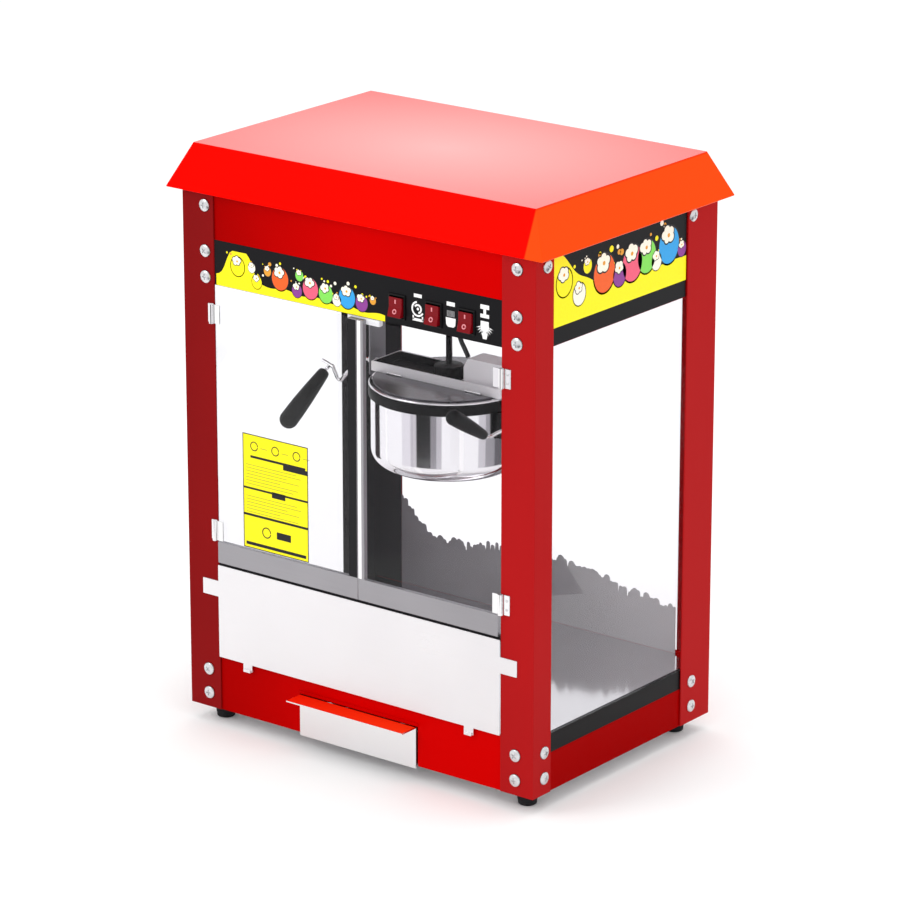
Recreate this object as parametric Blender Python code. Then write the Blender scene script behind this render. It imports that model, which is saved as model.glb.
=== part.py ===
"""Countertop popcorn maker: a red sheet-metal cabinet with clear doors, a tilting kettle hung on two
trunnions, a fold-down serving flap and a drawer for unpopped kernels.

Units are metres. +Z is up, the doors face -Y, and +X is the right-hand side seen from the front.
The model stands on z = 0. Places are worked out in the cabinet's own frame, whose centre lies on the
empty "cabinet_axis"; that empty is set back so that the drawer lip and the roof's rear edge lie evenly
about the origin.
"""

import math

import bmesh
import bpy
from mathutils import Vector

# ---- gaps and sheet thicknesses
GAP = 0.0003
SHEET = 0.0015
POST_SHEET = 0.002
GLASS = 0.003

# ---- cabinet
HALF_WIDTH = 0.2634
HALF_DEPTH = 0.180
FOOT_HEIGHT = 0.020
FOOT_RADIUS = 0.013
FOOT_INSET = 0.030
POST_TOP = 0.690
POST_FRONT_FLANGE = 0.048
POST_SIDE_FLANGE_FRONT = 0.035
POST_SIDE_FLANGE_REAR = 0.060
HEADER_TOP = 0.688
CONTROL_BOTTOM = 0.5625
CONTROL_TOP = 0.618
SIDE_HEADER_BOTTOM = 0.564
BASE_FRONT_TOP = 0.0897
BASE_SIDE_TOP = 0.068
LOWER_RAIL_TOP = 0.092
LOWER_RAIL_DEPTH = 0.0051
DECK_BOTTOM = 0.086
DECK_THICKNESS = 0.002
CEILING_BOTTOM = 0.600

# ---- roof canopy
ROOF_EAVES_HALF = (0.280, 0.19025)
ROOF_CREST_HALF = (0.2545, 0.1685)
ROOF_EAVES = 0.6757
ROOF_CREST = 0.730

# ---- doors
DOOR_BOTTOM = 0.213
DOOR_RAIL_TOP = 0.240
DOOR_TOP = 0.560
DOOR_OUTER_EDGE = 0.2135
DOOR_SEAM = 0.005
DOOR_FRONT = -0.183
DOOR_BACK = -0.177
DOOR_STILE_WIDTH = {"left": 0.0127, "right": 0.0094}
HINGE_PIN = (0.2175, -0.1836)
HINGE_RADIUS = 0.003
HINGE_SPANS = {"upper": (0.516, 0.539), "lower": (0.2415, 0.266)}

# ---- serving flap
FLAP_HALF_WIDTH = 0.2155
FLAP_BOTTOM = 0.090
FLAP_TOP = 0.209
FLAP_EAR_REACH = 0.240
FLAP_EAR = (0.168, 0.188)
FLAP_TONGUE = (0.163, 0.177)
FLAP_TONGUE_BOTTOM = 0.081
FLAP_FRONT = -0.1818
FLAP_AXIS = (0.0, -0.183, 0.082)

# ---- kernel drawer
DRAWER_HOLE_HALF = 0.091
DRAWER_HOLE_TOP = 0.0712
DRAWER_HALF = 0.0885
DRAWER_FRONT_HALF = 0.0895
DRAWER_REAR = 0.075
LIP_REACH = 0.206
LIP_TOP = 0.0695

# ---- kettle and its drive
KETTLE_RADIUS = 0.095
KETTLE_BOTTOM = 0.337
KETTLE_FLOOR = 0.351
KETTLE_CORNER = 0.022
KETTLE_RIM = 0.441
RIM_RADIUS = 0.0975
HEATER_RADIUS = 0.072
TILT_AXIS = (0.0, -0.006, 0.447)
HANGER_REACH = 0.1095
HANGER_Y = (-0.018, 0.012)
CROSSBAR_HALF = (0.098, 0.028)
CROSSBAR_BOTTOM = 0.4418
CROSSBAR_TOP = 0.454
PIN_RADIUS = 0.004
PIN_END = 0.118
LID_INNER_EDGE = 0.030
LID_RADIUS = 0.0925
LID_BOTTOM = 0.4416
SHAFT_RADIUS = 0.004
KNOB_RADIUS = 0.01875
CLUTCH_LOWER_TOP = 0.504
CLUTCH_UPPER_BOTTOM = 0.507
LEVER_ROD_RADIUS = 0.0022
LEAD_RADIUS = 0.003

# ---- switches, left to right: heat, stirrer motor, lamp
ROCKERS = {"heat": 0.0625, "stirrer": 0.116, "lamp": 0.164}
ROCKER_HEIGHT = 0.0235
ROCKER_WIDTH = 0.019
ROCKER_Z = 0.5835
ROCKER_TILT = math.radians(8)

# The cabinet is set back by half of what the drawer lip reaches past the roof's rear edge.
SET_BACK = (LIP_REACH - ROOF_EAVES_HALF[1]) / 2
FRONT_SHEET = (-HALF_DEPTH + POST_SHEET + GAP, -HALF_DEPTH + POST_SHEET + GAP + SHEET)
REAR_SHEET = (-FRONT_SHEET[1], -FRONT_SHEET[0])
SIDE_OUTER = HALF_WIDTH - POST_SHEET - GAP
SIDE_HALF_DEPTH = REAR_SHEET[0] - GAP

origins = {}
parents = {}
paints = {}


def clear_scene():
    for old in list(bpy.data.objects):
        bpy.data.objects.remove(old, do_unlink=True)


def paint(name, colour, roughness, metallic=0.0, alpha=1.0):
    """One Principled material, kept under its name."""
    made = bpy.data.materials.new(name)
    made.use_nodes = True
    shader = made.node_tree.nodes["Principled BSDF"]
    shader.inputs["Base Color"].default_value = (*colour, 1.0)
    shader.inputs["Roughness"].default_value = roughness
    shader.inputs["Metallic"].default_value = metallic
    shader.inputs["Alpha"].default_value = alpha
    made.diffuse_color = (*colour, alpha)
    paints[name] = made


def make_paints():
    paint("red_enamel", (0.62, 0.012, 0.012), 0.28)
    paint("black_enamel", (0.012, 0.012, 0.013), 0.35)
    paint("polished_steel", (0.80, 0.80, 0.81), 0.12, 1.0)
    paint("brushed_steel", (0.70, 0.70, 0.71), 0.32, 1.0)
    paint("clear_glass", (0.90, 0.95, 0.95), 0.02, 0.0, 0.25)
    paint("black_plastic", (0.015, 0.015, 0.016), 0.42)
    paint("black_rubber", (0.02, 0.02, 0.02), 0.75)
    paint("red_plastic", (0.30, 0.01, 0.015), 0.18)
    paint("lamp_glass", (0.95, 0.90, 0.80), 0.10, 0.0, 0.60)
    paint("cable_sheath", (0.03, 0.03, 0.03), 0.55)


def group(name, at=(0.0, 0.0, 0.0), parent=None):
    """An empty on a joint's axis; what is placed in the group hangs from it."""
    empty = bpy.data.objects.new(name + "_axis", None)
    bpy.context.collection.objects.link(empty)
    origins[name] = Vector(at)
    parents[name] = empty
    if parent is None:
        empty.location = (0.0, SET_BACK, 0.0)
        return
    empty.parent = parents[parent]
    empty.location = Vector(at) - origins[parent]


def make_groups():
    group("cabinet")
    group("door_left", (-HINGE_PIN[0], HINGE_PIN[1], 0.0), "cabinet")
    group("door_right", (HINGE_PIN[0], HINGE_PIN[1], 0.0), "cabinet")
    group("flap", FLAP_AXIS, "cabinet")
    group("drawer", (0.0, -HALF_DEPTH, 0.0), "cabinet")
    group("kettle", TILT_AXIS, "cabinet")
    group("lid", (0.0, -LID_INNER_EDGE, LID_BOTTOM + 0.002), "kettle")
    group("agitator", (0.0, 0.0, TILT_AXIS[2]), "kettle")
    group("motor", (0.0, 0.0, CEILING_BOTTOM), "cabinet")
    for switch, x in ROCKERS.items():
        group("switch_" + switch, (x, FRONT_SHEET[0], ROCKER_Z), "cabinet")


def add(name, mesh, at, colour, holder="cabinet"):
    """An object around the point at, given in the cabinet's frame, hung from its group's empty."""
    made = bpy.data.objects.new(name, mesh)
    bpy.context.collection.objects.link(made)
    made.parent = parents[holder]
    made.location = Vector(at) - origins[holder]
    if colour:
        mesh.materials.append(paints[colour])
    return made


def mesh_from(shape, name, smooth=False):
    """Turns a bmesh into a mesh whose faces point out."""
    bmesh.ops.recalc_face_normals(shape, faces=shape.faces)
    mesh = bpy.data.meshes.new(name)
    shape.to_mesh(mesh)
    shape.free()
    if smooth:
        mesh.shade_smooth()
        mesh.set_sharp_from_angle(angle=math.radians(35))
    return mesh


def box(name, x, y, z, colour, holder="cabinet"):
    """A block between the low and high values of each axis, around its own middle."""
    low, high = Vector((x[0], y[0], z[0])), Vector((x[1], y[1], z[1]))
    shape = bmesh.new()
    bmesh.ops.create_cube(shape, size=1.0)
    bmesh.ops.scale(shape, vec=high - low, verts=shape.verts)
    return add(name, mesh_from(shape, name), (low + high) / 2, colour, holder)


def prism(name, outline, axis, span, colour, holder="cabinet", smooth=False):
    """An outline in the plane across axis ("X", "Y" or "Z"), extruded over span along it."""
    spots = {"X": lambda a, b: (span[0], a, b), "Y": lambda a, b: (a, span[0], b), "Z": lambda a, b: (a, b, span[0])}
    along = {"X": Vector((1, 0, 0)), "Y": Vector((0, 1, 0)), "Z": Vector((0, 0, 1))}[axis]
    anchor = origins[holder]
    shape = bmesh.new()
    corners = [shape.verts.new(Vector(spots[axis](a, b)) - anchor) for a, b in outline]
    face = shape.faces.new(corners)
    pushed = bmesh.ops.extrude_face_region(shape, geom=[face])
    moved = [part for part in pushed["geom"] if isinstance(part, bmesh.types.BMVert)]
    bmesh.ops.translate(shape, vec=along * (span[1] - span[0]), verts=moved)
    return add(name, mesh_from(shape, name, smooth), anchor, colour, holder)


def lathe(name, profile, at, colour, holder="cabinet", closed=False, segments=40, smooth=True):
    """A turned piece about the vertical through at. The profile is (radius, height above at); a
    closed profile makes a ring, an open one starts and ends on the axis."""
    shape = bmesh.new()
    rings = []
    for radius, height in profile:
        if radius == 0.0:
            rings.append([shape.verts.new((0.0, 0.0, height))])
            continue
        turn = [2 * math.pi * step / segments for step in range(segments)]
        rings.append([shape.verts.new((radius * math.cos(t), radius * math.sin(t), height)) for t in turn])
    pairs = list(zip(rings, rings[1:]))
    if closed:
        pairs.append((rings[-1], rings[0]))
    for lower, upper in pairs:
        for step in range(segments):
            after = (step + 1) % segments
            corners = [lower[step % len(lower)], lower[after % len(lower)]]
            corners += [upper[after % len(upper)], upper[step % len(upper)]]
            shape.faces.new(list(dict.fromkeys(corners)))
    return add(name, mesh_from(shape, name, smooth), at, colour, holder)


def arc(centre, radius, start, end, steps):
    """Points on an arc, in degrees, in the plane of an outline or a profile."""
    turns = [math.radians(start + (end - start) * step / steps) for step in range(steps + 1)]
    return [(centre[0] + radius * math.cos(t), centre[1] + radius * math.sin(t)) for t in turns]


def tube(name, route, radius, colour, holder, smoothing=4):
    """A round rod or lead along a smooth curve through the route's points."""
    curve = bpy.data.curves.new(name, "CURVE")
    curve.dimensions = "3D"
    curve.bevel_depth = radius
    curve.bevel_resolution = 2
    curve.use_fill_caps = True
    curve.resolution_u = smoothing
    spline = curve.splines.new("BEZIER")
    spline.bezier_points.add(len(route) - 1)
    for knot, spot in zip(spline.bezier_points, route):
        knot.co = Vector(spot) - origins[holder]
        knot.handle_left_type = "AUTO"
        knot.handle_right_type = "AUTO"
    return add(name, curve, origins[holder], colour, holder)


def bolt_on(piece, tool, operation):
    """Joins a helper shape to a piece, or cuts it away; the helper itself is only a guide."""
    tool.hide_render = True
    tool.display_type = "WIRE"
    step = piece.modifiers.new(operation.lower(), "BOOLEAN")
    step.operation = operation
    step.solver = "EXACT"
    step.object = tool


def rod(name, radius, start, length, axis, holder):
    """A plain helper cylinder from start along an axis."""
    helper = lathe(name, [(0.0, 0.0), (radius, 0.0), (radius, length), (0.0, length)], start, None,
                   holder, segments=24)
    if axis == "X":
        helper.rotation_euler = (0.0, math.pi / 2, 0.0)
    if axis == "Y":
        helper.rotation_euler = (-math.pi / 2, 0.0, 0.0)
    return helper


# ---------------------------------------------------------------- cabinet


def make_posts():
    """Four angle-section posts; the rear ones have the wider side flange."""
    for side, sx in (("left", -1), ("right", 1)):
        for end, sy, depth in (("front", -1, POST_SIDE_FLANGE_FRONT), ("rear", 1, POST_SIDE_FLANGE_REAR)):
            outer_x, outer_y = sx * HALF_WIDTH, sy * HALF_DEPTH
            outline = [
                (outer_x, outer_y),
                (outer_x - sx * POST_FRONT_FLANGE, outer_y),
                (outer_x - sx * POST_FRONT_FLANGE, outer_y - sy * POST_SHEET),
                (outer_x - sx * POST_SHEET, outer_y - sy * POST_SHEET),
                (outer_x - sx * POST_SHEET, outer_y - sy * depth),
                (outer_x, outer_y - sy * depth),
            ]
            prism(f"post_{end}_{side}", outline, "Z", (FOOT_HEIGHT, POST_TOP), "red_enamel")


def make_roof():
    """A folded canopy: flat top, sloped skirts and a narrow flange turned in under the eaves."""
    eaves_x, eaves_y = ROOF_EAVES_HALF
    crest_x, crest_y = ROOF_CREST_HALF
    inset = 0.0018
    flange = (HALF_WIDTH + 0.0005, HALF_DEPTH + 0.0005)
    rings = [
        (crest_x, crest_y, ROOF_CREST),
        (eaves_x, eaves_y, ROOF_EAVES + SHEET),
        (eaves_x, eaves_y, ROOF_EAVES),
        (*flange, ROOF_EAVES),
        (*flange, ROOF_EAVES + SHEET),
        (eaves_x - inset, eaves_y - inset, ROOF_EAVES + SHEET),
        (crest_x - inset, crest_y - inset, ROOF_CREST - SHEET),
    ]
    shape = bmesh.new()
    loops = []
    for x, y, z in rings:
        loops.append([shape.verts.new((sx * x, sy * y, z)) for sx, sy in ((1, 1), (-1, 1), (-1, -1), (1, -1))])
    for lower, upper in zip(loops, loops[1:]):
        for step in range(4):
            after = (step + 1) % 4
            shape.faces.new((lower[step], lower[after], upper[after], upper[step]))
    shape.faces.new(loops[0])
    shape.faces.new(loops[-1])
    add("roof", mesh_from(shape, "roof"), (0.0, 0.0, 0.0), "red_enamel")


def make_headers():
    """Sheets between the posts above the doors and the panes, and the ceiling plate behind them."""
    wide = (-SIDE_OUTER, SIDE_OUTER)
    deep = (-SIDE_HALF_DEPTH, SIDE_HALF_DEPTH)
    box("front_header", wide, FRONT_SHEET, (CONTROL_TOP + GAP, HEADER_TOP), "red_enamel")
    box("rear_header", wide, REAR_SHEET, (SIDE_HEADER_BOTTOM, HEADER_TOP), "red_enamel")
    for side, sx in (("left", -1), ("right", 1)):
        sheet = sorted((sx * SIDE_OUTER, sx * (SIDE_OUTER - SHEET)))
        box(f"side_header_{side}", sheet, deep, (SIDE_HEADER_BOTTOM, HEADER_TOP), "red_enamel")
    inner = SIDE_OUTER - SHEET - GAP
    ceiling = box("ceiling_plate", (-inner, inner), deep, (CEILING_BOTTOM, CEILING_BOTTOM + SHEET), "brushed_steel")
    bolt_on(ceiling, rod("ceiling_hole", 0.008, (0, 0, CEILING_BOTTOM - 0.01), 0.02, "Z", "cabinet"), "DIFFERENCE")


def make_control_panel():
    """The black switch panel with its three cut-outs, and the three rockers in them."""
    panel = box("control_panel", (-SIDE_OUTER, SIDE_OUTER), FRONT_SHEET, (CONTROL_BOTTOM, CONTROL_TOP), "black_enamel")
    half_w, half_h = ROCKER_WIDTH / 2 + 0.00075, ROCKER_HEIGHT / 2 + 0.00125
    for switch, x in ROCKERS.items():
        hole = box("cutout_" + switch, (x - half_w, x + half_w), (FRONT_SHEET[0] - 0.01, FRONT_SHEET[1] + 0.01),
                   (ROCKER_Z - half_h, ROCKER_Z + half_h), None)
        bolt_on(panel, hole, "DIFFERENCE")
        make_rocker(switch, x)


def make_rocker(switch, x):
    """A rocker whose face is a shallow V; at rest its upper half is pressed in."""
    half = ROCKER_HEIGHT / 2
    valley = -0.0045
    crest = valley - half * math.tan(ROCKER_TILT)
    outline = [(0.003, -0.010), (crest, -half), (valley, 0.0), (crest, half), (0.003, 0.010)]
    shape = bmesh.new()
    near = [shape.verts.new((-ROCKER_WIDTH / 2, y, z)) for y, z in outline]
    far = [shape.verts.new((ROCKER_WIDTH / 2, y, z)) for y, z in outline]
    for step in range(len(outline)):
        after = (step + 1) % len(outline)
        shape.faces.new((near[step], near[after], far[after], far[step]))
    shape.faces.new(near)
    shape.faces.new(far)
    name = "rocker_" + switch
    made = add(name, mesh_from(shape, name), (x, FRONT_SHEET[0], ROCKER_Z), "red_plastic", "switch_" + switch)
    made.rotation_euler = (-ROCKER_TILT, 0.0, 0.0)


def make_base():
    """Base sheets, the bottom plate, the deck with its kernel slots, and the rails under the side panes."""
    hole, top = DRAWER_HOLE_HALF, DRAWER_HOLE_TOP
    outline = [
        (-SIDE_OUTER, FOOT_HEIGHT), (-hole, FOOT_HEIGHT), (-hole, top), (hole, top), (hole, FOOT_HEIGHT),
        (SIDE_OUTER, FOOT_HEIGHT), (SIDE_OUTER, BASE_FRONT_TOP), (-SIDE_OUTER, BASE_FRONT_TOP),
    ]
    prism("base_front", outline, "Y", FRONT_SHEET, "red_enamel")
    box("base_rear", (-SIDE_OUTER, SIDE_OUTER), REAR_SHEET, (FOOT_HEIGHT, LOWER_RAIL_TOP), "red_enamel")
    deep = (-SIDE_HALF_DEPTH, SIDE_HALF_DEPTH)
    for side, sx in (("left", -1), ("right", 1)):
        sheet = sorted((sx * SIDE_OUTER, sx * (SIDE_OUTER - SHEET)))
        rail = sorted((sx * SIDE_OUTER, sx * (SIDE_OUTER - LOWER_RAIL_DEPTH)))
        box(f"base_side_{side}", sheet, deep, (FOOT_HEIGHT, BASE_SIDE_TOP), "red_enamel")
        box(f"lower_rail_{side}", rail, deep, (BASE_SIDE_TOP + GAP, LOWER_RAIL_TOP), "black_enamel")
    inner = SIDE_OUTER - SHEET - GAP
    box("bottom_plate", (-inner, inner), deep, (FOOT_HEIGHT + GAP, FOOT_HEIGHT + GAP + SHEET), "brushed_steel")
    inner = SIDE_OUTER - LOWER_RAIL_DEPTH - GAP
    deck = box("deck", (-inner, inner), deep, (DECK_BOTTOM, DECK_BOTTOM + DECK_THICKNESS), "polished_steel")
    for slot in range(6):
        x = 0.028 * (slot - 2.5)
        cut = box(f"deck_slot_{slot}", (x - 0.003, x + 0.003), (-0.165, -0.115), (0.08, 0.10), None)
        bolt_on(deck, cut, "DIFFERENCE")


def make_feet():
    """Rubber feet, a little narrower at the floor."""
    profile = [(0.0, 0.0), (0.0105, 0.0), (0.0115, 0.001), (FOOT_RADIUS, FOOT_HEIGHT - 0.003),
               (FOOT_RADIUS, FOOT_HEIGHT), (0.0, FOOT_HEIGHT)]
    x, y = HALF_WIDTH - FOOT_INSET, HALF_DEPTH - FOOT_INSET
    for side, sx in (("left", -1), ("right", 1)):
        for end, sy in (("front", -1), ("rear", 1)):
            lathe(f"foot_{end}_{side}", profile, (sx * x, sy * y, 0.0), "black_rubber", segments=24)


def make_panes():
    """The fixed side and rear panes."""
    tall = (LOWER_RAIL_TOP + GAP, SIDE_HEADER_BOTTOM - GAP)
    deep = (-SIDE_HALF_DEPTH, SIDE_HALF_DEPTH)
    for side, sx in (("left", -1), ("right", 1)):
        pane = sorted((sx * SIDE_OUTER, sx * (SIDE_OUTER - GLASS)))
        box(f"side_glass_{side}", pane, deep, tall, "clear_glass")
    inner = SIDE_OUTER - GLASS - GAP
    box("rear_glass", (-inner, inner), (REAR_SHEET[1] - GLASS, REAR_SHEET[1]), tall, "clear_glass")


def make_lamp():
    """A lamp holder under the ceiling and its bulb."""
    spot = (-0.150, 0.090, 0.0)
    top = CEILING_BOTTOM - GAP
    holder = [(0.0, 0.572), (0.015, 0.572), (0.016, 0.576), (0.016, 0.592), (0.019, 0.594), (0.019, top), (0.0, top)]
    lathe("lamp_holder", holder, spot, "black_plastic", segments=24)
    bulb = [(0.0, 0.520)] + arc((0.0, 0.542), 0.022, -60, 40, 8) + [(0.012, 0.5640), (0.012, 0.5717), (0.0, 0.5717)]
    lathe("lamp_bulb", bulb, spot, "lamp_glass", segments=24)


def make_inlet():
    """The gland through which the mains lead enters, low on the rear."""
    profile = [(0.0, 0.0), (0.012, 0.0), (0.012, 0.004), (0.009, 0.005), (0.008, 0.009), (0.0, 0.009)]
    gland = lathe("mains_inlet", profile, (-0.190, REAR_SHEET[1] + GAP, 0.045), "black_plastic", segments=24)
    gland.rotation_euler = (-math.pi / 2, 0.0, 0.0)


# ---------------------------------------------------------------- doors, flap, drawer


def make_door(side):
    """One door: a pane, an L-shaped frame of bottom rail and meeting stile, and two hinge leaves."""
    sx = -1 if side == "left" else 1
    holder = "door_" + side
    outer = sx * DOOR_OUTER_EDGE
    seam = DOOR_SEAM + sx * GAP
    stile = seam + sx * DOOR_STILE_WIDTH[side]
    outline = [
        (outer, DOOR_BOTTOM), (seam, DOOR_BOTTOM), (seam, DOOR_TOP), (stile, DOOR_TOP),
        (stile, DOOR_RAIL_TOP), (outer, DOOR_RAIL_TOP),
    ]
    prism(f"{holder}_frame", outline, "Y", (DOOR_FRONT, DOOR_BACK), "brushed_steel", holder)
    middle = (DOOR_FRONT + DOOR_BACK) / 2
    box(f"{holder}_glass", sorted((outer, stile + sx * GAP)), (middle - GLASS / 2, middle + GLASS / 2),
        (DOOR_RAIL_TOP + GAP, DOOR_TOP), "clear_glass", holder)
    for level, span in HINGE_SPANS.items():
        leaf_y = (middle - GLASS / 2 - GAP - 0.0012, middle - GLASS / 2 - GAP)
        leaf = box(f"{holder}_hinge_{level}", sorted((sx * (HINGE_PIN[0] - 0.0005), sx * 0.2055)), leaf_y, span,
                   "polished_steel", holder)
        barrel = rod(f"{holder}_barrel_{level}", HINGE_RADIUS, (sx * HINGE_PIN[0], HINGE_PIN[1], span[0] - 0.0005),
                     span[1] - span[0] + 0.001, "Z", holder)
        bolt_on(leaf, barrel, "UNION")


def make_flap():
    """The serving flap: a plate with an ear at each side and two tongues on which it folds down."""
    right = [
        (FLAP_TONGUE[0], FLAP_BOTTOM), (FLAP_TONGUE[0], FLAP_TONGUE_BOTTOM), (FLAP_TONGUE[1], FLAP_TONGUE_BOTTOM),
        (FLAP_TONGUE[1], FLAP_BOTTOM), (FLAP_HALF_WIDTH, FLAP_BOTTOM), (FLAP_HALF_WIDTH, FLAP_EAR[0]),
        (FLAP_EAR_REACH, FLAP_EAR[0]), (FLAP_EAR_REACH, FLAP_EAR[1]), (FLAP_HALF_WIDTH, FLAP_EAR[1]),
        (FLAP_HALF_WIDTH, FLAP_TOP),
    ]
    outline = right + [(-x, z) for x, z in reversed(right)]
    prism("serving_flap", outline, "Y", (FLAP_FRONT, FLAP_FRONT + SHEET), "brushed_steel", "flap")


def make_drawer():
    """The kernel drawer: an open tray, and a front plate folded forward into a lip."""
    front = -HALF_DEPTH + SHEET
    wall = 0.0012
    floor = FOOT_HEIGHT + 0.0035
    top = 0.064
    tray = box("drawer_tray", (-DRAWER_HALF, DRAWER_HALF), (front + GAP, DRAWER_REAR), (floor, top), "brushed_steel",
               "drawer")
    hollow = box("drawer_hollow", (wall - DRAWER_HALF, DRAWER_HALF - wall), (front + GAP + wall, DRAWER_REAR - wall),
                 (floor + wall, top + 0.01), None, "drawer")
    bolt_on(tray, hollow, "DIFFERENCE")
    foot = FOOT_HEIGHT - 0.003
    outline = [(front, foot), (front, LIP_TOP), (-LIP_REACH, LIP_TOP), (-LIP_REACH, LIP_TOP - SHEET),
               (-HALF_DEPTH, LIP_TOP - SHEET), (-HALF_DEPTH, foot)]
    prism("drawer_front", outline, "X", (-DRAWER_FRONT_HALF, DRAWER_FRONT_HALF), "polished_steel", "drawer")


# ---------------------------------------------------------------- kettle and drive


def make_hanger():
    """The U-shaped yoke under the ceiling that carries the kettle's trunnions."""
    top = CEILING_BOTTOM - GAP
    strip = 0.002
    reach, low = HANGER_REACH, TILT_AXIS[2] - 0.015
    outline = [(-reach, low), (strip - reach, low), (strip - reach, top - strip), (reach - strip, top - strip),
               (reach - strip, low), (reach, low), (reach, top), (-reach, top)]
    yoke = prism("kettle_hanger", outline, "Y", HANGER_Y, "brushed_steel")
    bolt_on(yoke, rod("trunnion_hole", PIN_RADIUS + 0.0005, (-0.15, *TILT_AXIS[1:]), 0.30, "X", "cabinet"),
            "DIFFERENCE")
    bolt_on(yoke, rod("shaft_hole", 0.0075, (0.0, 0.0, top - 0.02), 0.04, "Z", "cabinet"), "DIFFERENCE")


def make_drive():
    """The gear motor above the ceiling and its shaft, which ends in the upper half of the clutch."""
    base = CEILING_BOTTOM + SHEET + GAP
    motor = [(0.0, base), (0.032, base), (0.032, base + 0.028), (0.021, base + 0.028), (0.021, base + 0.064),
             (0.018, base + 0.066), (0.0, base + 0.066)]
    lathe("gear_motor", motor, (0.0, 0.0, 0.0), "brushed_steel", segments=32)
    low = CLUTCH_UPPER_BOTTOM
    shaft = [(0.0, low), (0.010, low), (0.010, low + 0.008), (SHAFT_RADIUS, low + 0.010), (SHAFT_RADIUS, base - GAP),
             (0.0, base - GAP)]
    profile = [(radius, height - CEILING_BOTTOM) for radius, height in shaft]
    lathe("motor_shaft", profile, (0.0, 0.0, CEILING_BOTTOM), "polished_steel", "motor", segments=24)


def make_pot():
    """The kettle's bowl with a turned-out rim, the dark band under it, and the heater in its underside."""
    wall = 0.002
    corner = KETTLE_RADIUS - KETTLE_CORNER
    outside = arc((corner, KETTLE_BOTTOM + KETTLE_CORNER), KETTLE_CORNER, -90, 0, 6)
    bend = 0.012
    inside = arc((KETTLE_RADIUS - wall - bend, KETTLE_FLOOR + bend), bend, 0, -90, 4)
    recess = KETTLE_FLOOR - wall
    profile = [(0.0, recess), (HEATER_RADIUS, recess), (HEATER_RADIUS, KETTLE_BOTTOM)] + outside
    profile += [(KETTLE_RADIUS, KETTLE_RIM - 0.0017), (RIM_RADIUS, KETTLE_RIM - 0.0017), (RIM_RADIUS, KETTLE_RIM)]
    profile += [(KETTLE_RADIUS - wall, KETTLE_RIM)] + inside + [(0.0, KETTLE_FLOOR)]
    centre = (0.0, 0.0, 0.0)
    lathe("kettle_pot", profile, centre, "polished_steel", "kettle", segments=48)
    low, high = KETTLE_RIM - 0.0163, KETTLE_RIM - 0.0020
    band = [(KETTLE_RADIUS + GAP, low), (RIM_RADIUS, low), (RIM_RADIUS, high), (KETTLE_RADIUS + GAP, high)]
    lathe("kettle_ring", band, centre, "black_enamel", "kettle", closed=True, segments=48)
    radius = HEATER_RADIUS - GAP
    plate = [(0.0, KETTLE_BOTTOM + 0.0005), (radius, KETTLE_BOTTOM + 0.0005), (radius, recess - GAP), (0.0, recess - GAP)]
    lathe("heater_plate", plate, centre, "brushed_steel", "kettle", segments=32)


def make_crossbar():
    """The trough across the kettle that carries the trunnion pins, and the terminal cover in it."""
    half_x, half_y = CROSSBAR_HALF
    floor = CROSSBAR_BOTTOM + SHEET
    bar = box("kettle_crossbar", (-half_x, half_x), (-half_y, half_y), (CROSSBAR_BOTTOM, CROSSBAR_TOP),
              "polished_steel", "kettle")
    trough = box("crossbar_trough", (SHEET - half_x, half_x - SHEET), (SHEET - half_y, half_y - SHEET),
                 (floor, CROSSBAR_TOP + 0.01), None, "kettle")
    bolt_on(bar, trough, "DIFFERENCE")
    for name, start in (("pin_left", -PIN_END), ("pin_right", half_x - 0.001)):
        pin = rod(name, PIN_RADIUS, (start, *TILT_AXIS[1:]), PIN_END - half_x + 0.001, "X", "kettle")
        bolt_on(bar, pin, "UNION")
    bolt_on(bar, rod("bar_hole", 0.006, (0.0, 0.0, CROSSBAR_BOTTOM - 0.01), 0.02, "Z", "kettle"), "DIFFERENCE")
    low = floor + 2 * GAP
    outline = [(0.033, low), (0.0955, low), (0.0955, 0.479), (0.040, 0.479), (0.033, 0.467)]
    prism("terminal_cover", outline, "Y", (-0.015, 0.015), "brushed_steel", "kettle")


def make_lids():
    """Two half lids beside the trough: the front one is hinged, the rear one is fixed."""
    angle = math.degrees(math.asin(LID_INNER_EDGE / LID_RADIUS))
    outline = arc((0.0, 0.0), LID_RADIUS, 180 + angle, 360 - angle, 24)
    span = (LID_BOTTOM, LID_BOTTOM + SHEET)
    prism("lid_front", outline, "Z", span, "polished_steel", "lid")
    prism("lid_rear", [(x, -y) for x, y in outline], "Z", span, "polished_steel", "kettle")


def make_agitator():
    """The stirring shaft with two blades, the lower clutch half on top, and the knob around it."""
    low = KETTLE_FLOOR + 0.0015
    base = origins["agitator"]
    heights = [(0.0, low), (SHAFT_RADIUS, low), (SHAFT_RADIUS, CLUTCH_LOWER_TOP - 0.006),
               (0.006, CLUTCH_LOWER_TOP - 0.005), (0.006, CLUTCH_LOWER_TOP), (0.0, CLUTCH_LOWER_TOP)]
    profile = [(radius, height - base.z) for radius, height in heights]
    shaft = lathe("agitator", profile, base, "polished_steel", "agitator", segments=24)
    blade = box("agitator_blades", (-0.078, 0.078), (-0.006, 0.006), (low + 0.001, low + 0.004), None, "agitator")
    bolt_on(shaft, blade, "UNION")
    bore = SHAFT_RADIUS + GAP
    foot, crown = CROSSBAR_BOTTOM + SHEET + GAP - base.z, 0.4615 - base.z
    knob = [(bore, foot), (KNOB_RADIUS - 0.001, foot), (KNOB_RADIUS, foot + 0.001), (KNOB_RADIUS, crown - 0.003)]
    knob += [(KNOB_RADIUS - 0.001, crown - 0.001), (KNOB_RADIUS - 0.003, crown), (bore, crown)]
    lathe("drive_knob", knob, base, "black_plastic", "agitator", closed=True, segments=32)


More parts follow.
